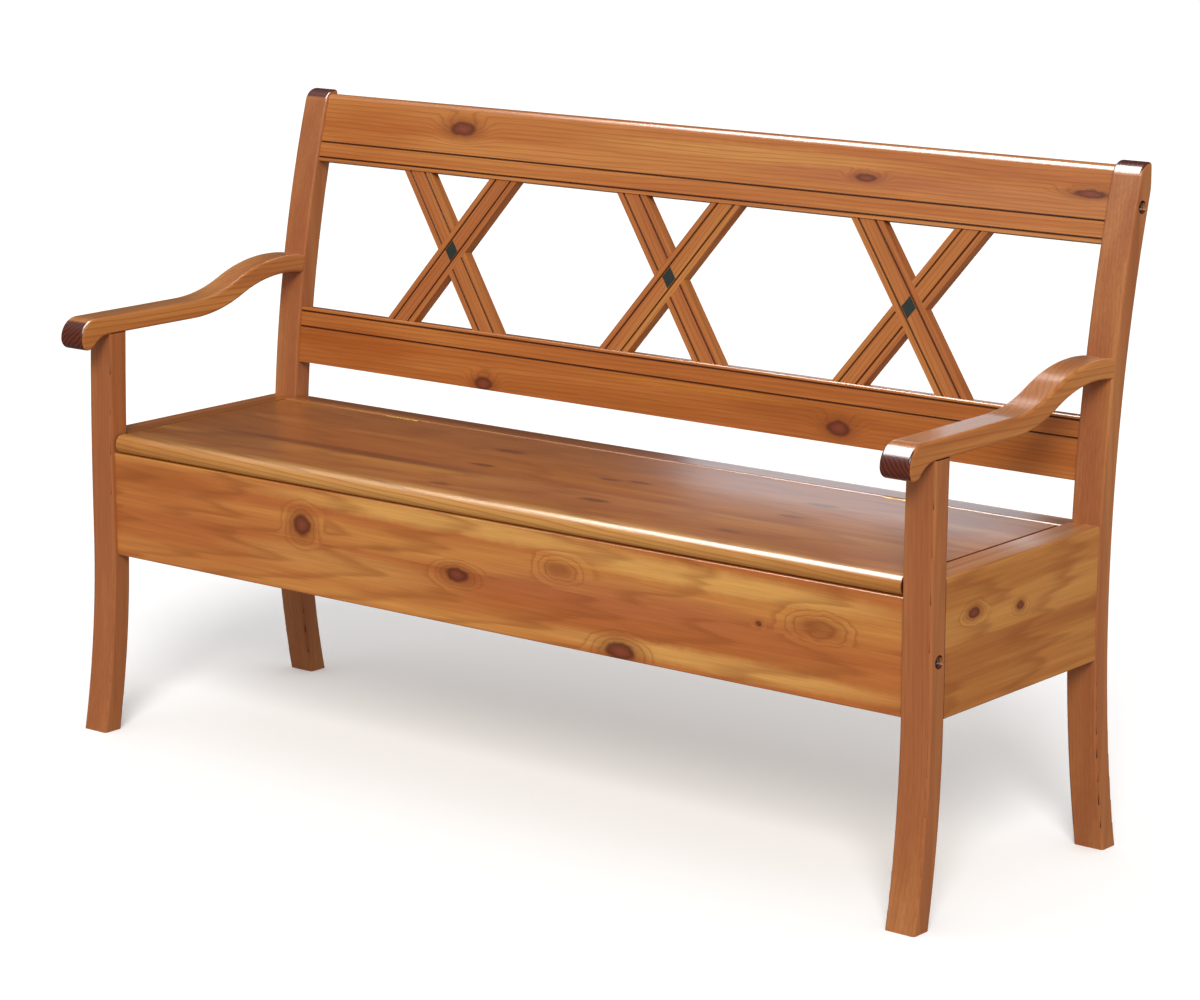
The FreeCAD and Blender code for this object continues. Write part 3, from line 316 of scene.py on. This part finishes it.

    # painted shade darkens the colour along the grooves: each groove is a line seen end on, at (across,
    # deep)
    crossSection = addNode(tree, "CombineXYZ", None, {1: across, 2: deep})
    toGroove = None
    for v, w in look.get("grooves", ()):
        gap = addNode(tree, "VectorMath", {"operation": "DISTANCE"},
                      {0: crossSection, 1: (0, v * mm, w * mm)}).outputs["Value"]
        if toGroove is not None:
            gap = addNode(tree, "Math", least, {0: toGroove, 1: gap}).outputs[0]
        toGroove = gap
    if toGroove is not None:
        outer, inner = pine["grooveEdge"]
        shade = addNode(tree, "MapRange", smooth, {"Value": toGroove, "From Min": outer, "From Max": inner,
                                                   "To Max": pine["grooveAmount"]})
        colour = addNode(tree, "Mix", mixColours,
                         {"Factor": shade, colourA: colour,
                          colourB: linearColour(pine["groove"])}).outputs[mixedColour]

    relief = addNode(tree, "Math", multiplyAdd, {0: late, 1: pine["reliefOfRings"], 2: fibres})
    bump = addNode(tree, "Bump", None, {"Height": relief, "Strength": pine["reliefStrength"],
                                        "Distance": pine["relief"]})
    satin = addNode(tree, "MapRange", None, {"Value": fibres,
                                             "To Min": pine["roughness"] - pine["roughnessSpread"],
                                             "To Max": pine["roughness"] + pine["roughnessSpread"]})
    shader = addNode(tree, "BsdfPrincipled", None, {
        "Base Color": colour, "Roughness": satin, "Normal": bump, "IOR": pine["index"],
        "Specular IOR Level": pine["specular"], "Coat Weight": pine["coat"],
        "Coat Roughness": look.get("coatRoughness", pine["coatRoughness"])})
    addNode(tree, "OutputMaterial", None, {0: shader})
    return material


# Grain directions: the first arrow runs along the grain, the second out of the main face
alongFront = ((1, 0, 0), (0, -1, 0))
alongTop = ((1, 0, 0), (0, 0, 1))
upright = ((0, 0, 1), (0, -1, 0))
outerSide = ((0, 1, 0), (1, 0, 0))
levelDeep = ((0, 1, 0), (0, 0, 1))

# The boards' own looks, in millimetres on the board's main face. Knots and swirls are (along, across,
# radius, stretch), tints are (along, across, half long, half wide, colour, strength).
yellow = "#CC9850"
red = "#A65C38"
brown = "#562608"
darkStrip = "#7C421C"
armWood = {"heart": "#A86430", "middle": "#B27038", "sap": "#BE8044"}
stripWood = {"heart": "#94521C", "middle": "#A05E22"}
legWood = {"heart": "#985832", "middle": "#A26438", "sap": "#AE7242", "figure": 0.22}
slatWood = {"heart": "#A05A2C", "middle": "#AC6832", "sap": "#B8783A"}
boards = {
    "front_apron": {
        "grain": alongFront, "stave": 77, "firstMiddle": 385, "seed": 1.3, "staveTone": 0.12,
        "heart": "#A65C2A", "middle": "#B06A32", "sap": "#C0823E",
        "knots": ((-327, 368, 14, 1.15), (-33, 340, 9, 2.2), (484, 353, 3, 1.5), (255, 279, 11, 2.2)),
        "swirls": ((150, 374, 9, 2.2), (578, 363, 10, 2.6)),
        "tintsAndPaintedLight": ((-40, 411, 420, 17, yellow, 0.8), (420, 398, 330, 19, yellow, 0.85),
                  (420, 288, 340, 16, yellow, 0.75), (-250, 322, 260, 26, yellow, 0.4),
                  (250, 350, 330, 34, red, 0.5), (-610, 395, 120, 26, "#9A5420", 0.6),
                  (150, 374, 34, 13, "#844420", 0.65), (578, 363, 50, 18, "#8A4A24", 0.6),
                  (-170, 356, 40, 9, "#9A5A2A", 0.4))},
    "lid_board": {
        "grain": alongTop, "stave": 96, "firstMiddle": -30, "seed": 2.1,
        "heart": "#9A581E", "middle": "#A66426", "sap": "#B67C34", "coatRoughness": 0.27,
        # painted highlight: the first tint, a pale band along the lid's rounded front edge, stands in for
        # light on the nosing
        "tintsAndPaintedLight": ((0, -212, 900, 22, "#C08A48", 0.9), (-330, -84, 330, 16, "#64300F", 0.8),
                  # painted shadow: the dark tint at (-560, -120) is the left armrest's shadow on the lid
                  (-560, -120, 120, 30, "#84461A", 0.5), (100, -110, 260, 60, "#98543A", 0.4),
                  (-170, 57, 34, 11, brown, 0.75), (-140, -38, 30, 10, brown, 0.75),
                  (-105, -168, 24, 9, brown, 0.7), (65, -3, 24, 9, brown, 0.7),
                  (110, 7, 26, 9, brown, 0.7), (130, -118, 34, 11, brown, 0.75),
                  (395, 47, 34, 11, brown, 0.7), (400, -33, 28, 9, brown, 0.7),
                  (385, -153, 26, 9, brown, 0.65))},
    "rear_seat_strip": {"grain": alongTop, "seed": 3.7, "heart": "#84461C", "middle": "#8E5020",
                        "tintsAndPaintedLight": ((0, 165, 900, 24, darkStrip, 0.6),)},
    "left_seat_strip": {"grain": levelDeep, "seed": 4.1, **stripWood},
    "right_seat_strip": {"grain": levelDeep, "seed": 4.9, **stripWood},
    "left_side_panel": {"grain": outerSide, "seed": 5.3, "stave": 80},
    "right_side_panel": {
        "grain": outerSide, "seed": 6.1, "stave": 91, "firstMiddle": 313,
        "heart": "#9A5A2A", "middle": "#A8682E", "sap": "#BA8040",
        "knots": ((-127, 393, 6, 2), (-20, 381, 5, 1.6))},
    "rear_rail": {"grain": alongFront, "seed": 9.1, "stave": 77, "firstMiddle": 385},
    "left_armrest": {"grain": levelDeep, "seed": 11.3, **armWood},
    "right_armrest": {"grain": levelDeep, "seed": 12.9, **armWood},
}
uprights = ("left_rear_post", "right_rear_post", "left_front_leg", "right_front_leg")
for number, postName in enumerate(uprights):
    boards[postName] = {"grain": upright, "seed": 13.7 + number * 1.9, **legWood}

# Both back rails: where the middle of the front face lies (y, z), how far it leans back in degrees,
# and how far up from that middle its two grooves are
rails = {
    "top_rail": {
        "face": (245.2, 866), "lean": 15.4, "grooves": (-47.5, -23.5), "seed": 7.7,
        "knots": ((-425, 882, 10, 2.4), (320, 868, 5, 3.4), (680, 875, 5, 5.0)),
        "tintsAndPaintedLight": ((-620, 868, 150, 46, "#A45618", 0.6), (120, 886, 330, 15, "#BE8440", 0.7),
                  (-120, 852, 260, 13, "#B8763A", 0.5), (330, 866, 240, 17, "#A25A34", 0.6),
                  (600, 858, 180, 20, "#A86438", 0.5))},
    "middle_rail": {
        "face": (182.9, 547), "lean": 6.66, "grooves": (37, 13), "seed": 8.3,
        "knots": ((-328, 513, 9, 1.8), (323, 526, 10, 1.9)),
        "tintsAndPaintedLight": ((-600, 545, 190, 44, "#9A4C0E", 0.7), (-100, 520, 260, 16, "#A05A1C", 0.6),
                  (250, 540, 180, 20, "#8E4A14", 0.55), (560, 535, 160, 26, "#A05818", 0.6),
                  (60, 552, 240, 9, "#B47026", 0.6))},
}
grooveDeep = 1.1
for railName, rail in rails.items():
    lean = math.radians(rail["lean"])
    faceY, middleZ = rail["face"]
    lines = [(middleZ - grooveDeep * math.sin(lean) + up * math.cos(lean),
              -(faceY + grooveDeep * math.cos(lean) + up * math.sin(lean))) for up in rail["grooves"]]
    boards[railName] = {"grain": alongFront, "seed": rail["seed"], "knots": rail["knots"],
                        "tintsAndPaintedLight": rail["tintsAndPaintedLight"], "grooves": lines}

# Brace slats: the plane they lie in leans back by the rake, and each runs off to one side by the splay.
# Each cross has its middle at (y, z), and a slat's face is in front of that middle.
braces = {
    "rake": 10.87,
    "splay": 37.1,
    "crossing": (219.2, 700.2),
    "pitch": 417,
    "grooveAside": 11.5,
    "faceDeep": 8,
}
rake = math.radians(braces["rake"])
splay = math.radians(braces["splay"])
braceFace = (0, -math.cos(rake), math.sin(rake))
for count, crossName in enumerate(("left", "middle", "right")):
    for slatName, side in (("rising", 1), ("falling", -1)):
        run = (side * math.sin(splay), math.cos(splay) * math.sin(rake), math.cos(splay) * math.cos(rake))
        centre = Vector(((count - 1) * braces["pitch"],) + braces["crossing"])
        u, v, w = grainTurn(run, braceFace) @ centre
        lines = [(v + aside, w + braces["faceDeep"] - grooveDeep)
                 for aside in (-braces["grooveAside"], braces["grooveAside"])]
        boards["%s_cross_%s_slat" % (crossName, slatName)] = {
            "grain": (run, braceFace), "seed": 2.7 + count * 1.9 + side * 0.6, "grooves": lines, **slatWood}

# Birch plywood, bare: a pale rotary-cut face with a broad watery figure, and thin plies at its edges
plywood = {
    "face": "#D9BE93",
    "figure": "#C8A676",
    "figureSpots": (333.3 * mm, 38.5 * mm),
    "figureRange": (0.4, 0.65),
    "distortion": 0.8,
    "plyPale": "#D3B486",
    "plyDark": "#A67C4B",
    "ply": 1.5 * mm,
    "plyEdge": 0.2,
    "edgeSlope": (0.4, 0.6),
    "relief": 0.2 * mm,
    "reliefStrength": 0.1,
    "roughness": 0.62,
}


def plywoodMaterial(name):
    material, tree = newMaterial(name)
    coords = addNode(tree, "TexCoord")
    stretched = addNode(tree, "Mapping", None, {"Vector": coords.outputs["Object"],
                                                "Scale": spotScale(plywood["figureSpots"])})
    noise = addNode(tree, "TexNoise", None, {"Vector": stretched, "Scale": 1, "Detail": 4,
                                             "Distortion": plywood["distortion"]})
    low, high = plywood["figureRange"]
    figure = addNode(tree, "MapRange", None, {"Value": noise, "From Min": low, "From Max": high})
    face = addNode(tree, "Mix", mixColours, {"Factor": figure, colourA: linearColour(plywood["face"]),
                                             colourB: linearColour(plywood["figure"])})
    level = addNode(tree, "SeparateXYZ", None, {0: coords.outputs["Object"]}).outputs[2]
    layer = addNode(tree, "Math", {"operation": "MULTIPLY"}, {0: level, 1: math.pi / plywood["ply"]})
    wave = addNode(tree, "Math", {"operation": "SINE"}, {0: layer})
    plies = addNode(tree, "MapRange", None, {"Value": wave, "From Min": -plywood["plyEdge"],
                                             "From Max": plywood["plyEdge"]})
    edge = addNode(tree, "Mix", mixColours, {"Factor": plies, colourA: linearColour(plywood["plyPale"]),
                                             colourB: linearColour(plywood["plyDark"])})
    lift = addNode(tree, "SeparateXYZ", None, {0: coords.outputs["Normal"]}).outputs[2]
    upness = addNode(tree, "Math", {"operation": "ABSOLUTE"}, {0: lift})
    low, high = plywood["edgeSlope"]
    onFace = addNode(tree, "MapRange", None, {"Value": upness, "From Min": low, "From Max": high})
    colour = addNode(tree, "Mix", mixColours, {"Factor": onFace, colourA: edge.outputs[mixedColour],
                                               colourB: face.outputs[mixedColour]})
    bump = addNode(tree, "Bump", None, {"Height": noise, "Strength": plywood["reliefStrength"],
                                        "Distance": plywood["relief"]})
    shader = addNode(tree, "BsdfPrincipled", None, {"Base Color": colour.outputs[mixedColour],
                                                    "Normal": bump, "Roughness": plywood["roughness"]})
    addNode(tree, "OutputMaterial", None, {0: shader})
    return material


# Beech dowels, planed rod: pale pinkish wood with short darker flecks
beech = {
    "pale": "#D8B48C",
    "fleck": "#B4875C",
    "fleckSpots": (3 * mm, 0.6 * mm),
    "fleckRange": (0.58, 0.68),
    "roughness": 0.6,
}


def beechMaterial(name):
    material, tree = newMaterial(name)
    coords = addNode(tree, "TexCoord")
    stretched = addNode(tree, "Mapping", None, {"Vector": coords.outputs["Object"],
                                                "Scale": spotScale(beech["fleckSpots"])})
    noise = addNode(tree, "TexNoise", None, {"Vector": stretched, "Scale": 1, "Detail": 1})
    low, high = beech["fleckRange"]
    fleck = addNode(tree, "MapRange", None, {"Value": noise, "From Min": low, "From Max": high})
    colour = addNode(tree, "Mix", mixColours, {"Factor": fleck, colourA: linearColour(beech["pale"]),
                                               colourB: linearColour(beech["fleck"])})
    shader = addNode(tree, "BsdfPrincipled", None, {"Base Color": colour.outputs[mixedColour],
                                                    "Roughness": beech["roughness"]})
    addNode(tree, "OutputMaterial", None, {0: shader})
    return material


# Inlays: veneer dyed blue-green nearly to black, its upright pores darker still, under the same lacquer
veneer = {
    "dye": "#26332D",
    "pore": "#141C19",
    "poreLong": 9 * mm,
    "poreWide": 0.5 * mm,
    "poreRange": (0.42, 0.62),
    "relief": 0.1 * mm,
    "reliefStrength": 0.1,
    "roughness": 0.35,
}


def veneerMaterial(name):
    material, tree = newMaterial(name)
    coords = addNode(tree, "TexCoord")
    stretched = addNode(tree, "Mapping", None, {
        "Vector": coords.outputs["Object"],
        "Scale": (1 / veneer["poreWide"], 1 / veneer["poreWide"], 1 / veneer["poreLong"])})
    noise = addNode(tree, "TexNoise", None, {"Vector": stretched, "Scale": 1, "Detail": 3})
    low, high = veneer["poreRange"]
    pores = addNode(tree, "MapRange", None, {"Value": noise, "From Min": low, "From Max": high})
    colour = addNode(tree, "Mix", mixColours, {"Factor": pores, colourA: linearColour(veneer["dye"]),
                                               colourB: linearColour(veneer["pore"])})
    bump = addNode(tree, "Bump", None, {"Height": noise, "Strength": veneer["reliefStrength"],
                                        "Distance": veneer["relief"]})
    shader = addNode(tree, "BsdfPrincipled", None, {
        "Base Color": colour.outputs[mixedColour], "Normal": bump, "Roughness": veneer["roughness"],
        "IOR": pine["index"], "Coat Weight": pine["coat"], "Coat Roughness": pine["coatRoughness"]})
    addNode(tree, "OutputMaterial", None, {0: shader})
    return material


# Plated steel: zinc plate has a cool grey spangle, and brassing is a thin warm film that dulls with
# age. The blotches are as wide as the marks that handling leaves.
platings = {
    "zinc_plated_steel": {"light": "#B9BCBE", "dark": "#85888C", "blotch": 4 * mm, "roughness": 0.34},
    "brassed_steel": {"light": "#A98C50", "dark": "#775A2A", "blotch": 7 * mm, "roughness": 0.4},
}
blotchRange = (0.35, 0.65)
platingSpread = 0.08


def platedMaterial(name):
    plating = platings[name]
    material, tree = newMaterial(name)
    coords = addNode(tree, "TexCoord")
    noise = addNode(tree, "TexNoise", None, {"Vector": coords.outputs["Object"],
                                             "Scale": 1 / plating["blotch"], "Detail": 4})
    low, high = blotchRange
    blotch = addNode(tree, "MapRange", None, {"Value": noise, "From Min": low, "From Max": high})
    colour = addNode(tree, "Mix", mixColours, {"Factor": blotch, colourA: linearColour(plating["light"]),
                                               colourB: linearColour(plating["dark"])})
    satin = addNode(tree, "MapRange", None, {"Value": noise, "To Min": plating["roughness"] - platingSpread,
                                             "To Max": plating["roughness"] + platingSpread})
    shader = addNode(tree, "BsdfPrincipled", None, {"Base Color": colour.outputs[mixedColour],
                                                    "Roughness": satin, "Metallic": 1.0})
    addNode(tree, "OutputMaterial", None, {0: shader})
    return material


print("materials")
zincPlated = platedMaterial("zinc_plated_steel")
brassed = platedMaterial("brassed_steel")
dyedVeneer = veneerMaterial("dyed_veneer")
bareBirch = plywoodMaterial("bare_birch_plywood")
beechRod = beechMaterial("beech_rod")
frontToBack = ("left_lid_ledge", "right_lid_ledge", "left_floor_cleat", "right_floor_cleat")
for number, nodeName in enumerate(sorted(nodes)):
    if "hinge" in nodeName:
        dress(nodeName, brassed)
    elif nodeName in ("frame_bolts", "barrel_nuts"):
        dress(nodeName, zincPlated)
    elif "inlay" in nodeName:
        dress(nodeName, dyedVeneer)
    elif nodeName == "box_floor":
        dress(nodeName, bareBirch)
    elif "dowels" in nodeName:
        dress(nodeName, beechRod)
    else:
        hidden = {"seed": number * 1.37, "grain": alongFront}
        if nodeName in frontToBack or "batten" in nodeName:
            hidden["grain"] = levelDeep
        dress(nodeName, pineMaterial("lacquered_pine_" + nodeName, boards.get(nodeName, hidden)))

# Screws: countersunk, cross recessed, zinc plated in the battens and brassed in the hinges
print("screws")
screws = {
    "head": 7 * mm,
    "sides": 32,
    "sunk": 1.2 * mm,
    "proud": 0.12 * mm,
    "land": 0.35 * mm,
    "slotLong": 4.2 * mm,
    "slotWide": 0.9 * mm,
    "slotDeep": 0.9 * mm,
    "slotTurns": (0, math.pi / 2),
}


def modelScrew(look):
    bpy.ops.object.select_all(action="DESELECT")
    bpy.ops.mesh.primitive_cylinder_add(
        vertices=look["sides"], radius=look["head"] / 2, depth=look["sunk"] + look["proud"],
        location=(0, 0, (look["proud"] - look["sunk"]) / 2))
    screw = bpy.context.object
    bpy.ops.object.transform_apply()
    bpy.ops.object.mode_set(mode="EDIT")
    bpy.ops.mesh.select_mode(type="FACE")
    bpy.ops.mesh.select_all(action="DESELECT")
    bpy.ops.object.mode_set(mode="OBJECT")
    for face in screw.data.polygons:
        face.select = face.normal.z > 0.9  # the top
    bpy.ops.object.mode_set(mode="EDIT")
    bpy.ops.mesh.bevel(offset=look["land"], offset_pct=0, segments=2, affect="EDGES")
    bpy.ops.object.mode_set(mode="OBJECT")
    for turn in look["slotTurns"]:
        bpy.ops.object.select_all(action="DESELECT")
        bpy.ops.mesh.primitive_cube_add(
            size=1, location=(0, 0, look["proud"]), rotation=(0, 0, turn),
            scale=(look["slotLong"], look["slotWide"], look["slotDeep"] * 2))
        cutter = bpy.context.object
        recess = screw.modifiers.new("recess", "BOOLEAN")
        recess.object = cutter
        recess.solver = "EXACT"
        bpy.ops.object.select_all(action="DESELECT")
        screw.select_set(True)
        bpy.context.view_layer.objects.active = screw
        bpy.ops.object.modifier_apply(modifier=recess.name)
        bpy.data.objects.remove(cutter)
    return screw


def driveScrew(model, name, point, out, body, material):
    screw = model.copy()
    screw.data = model.data.copy()
    screw.name = name
    bpy.context.collection.objects.link(screw)
    turn = Vector(out).to_track_quat("Z", "Y").to_matrix().to_4x4()
    screw.data.transform(Matrix.Translation(point) @ turn)
    screw.data.materials.clear()
    screw.data.materials.append(material)
    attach(screw, body)


# Three screws in each hinge leaf, whose open faces stand half of the closed gap off the pin's axis,
# and three in a row under each batten
leafScrews = {"apart": 24 * mm, "overEdge": 7.3 * mm, "closedGap": 0.4 * mm}
battenScrews = {"rows": (-140 * mm, -36 * mm, 68 * mm)}
modelled = modelScrew(screws)
for side in ("left", "right"):
    pin = sum(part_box(side + "_hinge_pin"), Vector()) / 2
    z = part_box(side + "_hinge_fixed_leaf")[0].z + leafScrews["overEdge"]
    for number in (1, 2, 3):
        x = pin.x + (number - 2) * leafScrews["apart"]
        for leaf, body, out in (("fixed", "frame", -1), ("moving", "lid", 1)):
            y = pin.y - out * leafScrews["closedGap"] / 2
            driveScrew(modelled, "%s_hinge_%s_screw_%d" % (side, leaf, number), (x, y, z), (0, out, 0),
                       body, brassed)
for word in ("left", "middle", "right"):
    low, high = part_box("lid_batten_" + word)
    x = (low.x + high.x) / 2
    for number, y in enumerate(battenScrews["rows"]):
        driveScrew(modelled, "%s_batten_screw_%d" % (word, number + 1), (x, y, low.z), (0, 0, -1),
                   "lid", zincPlated)
bpy.data.objects.remove(modelled)

# Floor and light: an even white floor, one soft sun from the front and right, and two lamps that
# show only as sheen, one overhead and one low behind on the left, like a window. The floor is
# dimmer where the lacquer mirrors it and in the light that it throws back.
print("stage")
studio = {
    "floor": "#F8F7F6",
    "floorBounce": "#C6C1BA",
    "floorGlow": 0.12,
    "floorSize": 80,
    "sky": "#FFFFFF",
    "ambient": 0.66,
    "mirroredFloor": 0.12,
    "mirroredSky": 0.05,
    "sun": 2.4,
    "sunWay": (-0.44, 0.60, -0.50),
    "sunSoft": 22,
}
sheenLamps = {
    "overhead": {"place": (-0.9, -0.9, 2.9), "aim": (-0.9, -0.9, 0), "size": (1.6, 2.4),
                 "power": 380, "colour": "#FFFFFF"},
    "rear_window": {"place": (-1.2, 2.4, 0.98), "aim": (0.5, -0.05, 0.44), "size": (0.75, 0.6),
                    "power": 3, "colour": "#DCE8F2"},
}

bpy.ops.object.select_all(action="DESELECT")
bpy.ops.mesh.primitive_plane_add(size=studio["floorSize"], location=(0, 0, 0))
floor = bpy.context.object
floor.name = "studio_floor"
paint, tree = newMaterial("pale_matt_floor")
rays = addNode(tree, "LightPath")
tint = addNode(tree, "Mix", mixColours, {"Factor": rays.outputs["Is Diffuse Ray"],
                                         colourA: linearColour(studio["floor"]),
                                         colourB: linearColour(studio["floorBounce"])})
matt = addNode(tree, "BsdfDiffuse", None, {"Color": tint.outputs[mixedColour]})
shine = addNode(tree, "Math", {"operation": "MULTIPLY"},
                {0: rays.outputs["Is Camera Ray"], 1: studio["floorGlow"]})
glow = addNode(tree, "Emission", None, {"Strength": shine})
lifted = addNode(tree, "AddShader", None, {0: matt, 1: glow})
dim = addNode(tree, "Emission", None, {"Strength": studio["mirroredFloor"]})
seen = addNode(tree, "MixShader", None, {0: rays.outputs["Is Glossy Ray"], 1: lifted, 2: dim})
addNode(tree, "OutputMaterial", None, {0: seen})
floor.data.materials.append(paint)

world = bpy.data.worlds.new("studio")
bpy.context.scene.world = world
world.use_nodes = True
tree = world.node_tree
tree.nodes.clear()
white = linearColour(studio["sky"])
rays = addNode(tree, "LightPath")
sky = addNode(tree, "Background", None, {"Color": white, "Strength": studio["ambient"]})
mirrored = addNode(tree, "Background", None, {"Color": white, "Strength": studio["mirroredSky"]})
seen = addNode(tree, "MixShader", None, {0: rays.outputs["Is Glossy Ray"], 1: sky, 2: mirrored})
addNode(tree, "OutputWorld", None, {0: seen})


def hangLight(name, light, way):
    lamp = bpy.data.objects.new(name, light)
    bpy.context.collection.objects.link(lamp)
    lamp.rotation_euler = Vector(way).to_track_quat("-Z", "Y").to_euler()
    return lamp


sunLight = bpy.data.lights.new("soft_sun", "SUN")
sunLight.energy = studio["sun"]
sunLight.angle = math.radians(studio["sunSoft"])
hangLight("soft_sun", sunLight, studio["sunWay"])
for lampName, look in sheenLamps.items():
    light = bpy.data.lights.new(lampName, "AREA")
    light.shape = "RECTANGLE"
    light.size, light.size_y = look["size"]
    light.energy = look["power"]
    light.color = linearColour(look["colour"])[:3]
    lamp = hangLight(lampName, light, Vector(look["aim"]) - Vector(look["place"]))
    lamp.location = look["place"]
    lamp.visible_diffuse = False

# Camera: the photograph's own viewpoint, turned by these degrees about X, Y and Z
view = {
    "place": (3.2147, -3.8699, 1.5352),
    "turn": (78.9096, 0.2537, 39.2766),
    "sensor": 36,
    "lens": 109.75,
    "shift": -0.08,
}
cameraData = bpy.data.cameras.new("photo_view")
cameraData.sensor_width = view["sensor"]
cameraData.lens = view["lens"]
cameraData.shift_y = view["shift"]
camera = bpy.data.objects.new("photo_view", cameraData)
bpy.context.collection.objects.link(camera)
camera.location = view["place"]
camera.rotation_euler = [math.radians(angle) for angle in view["turn"]]
bpy.context.scene.camera = camera
bpy.context.scene.view_settings.view_transform = "Standard"
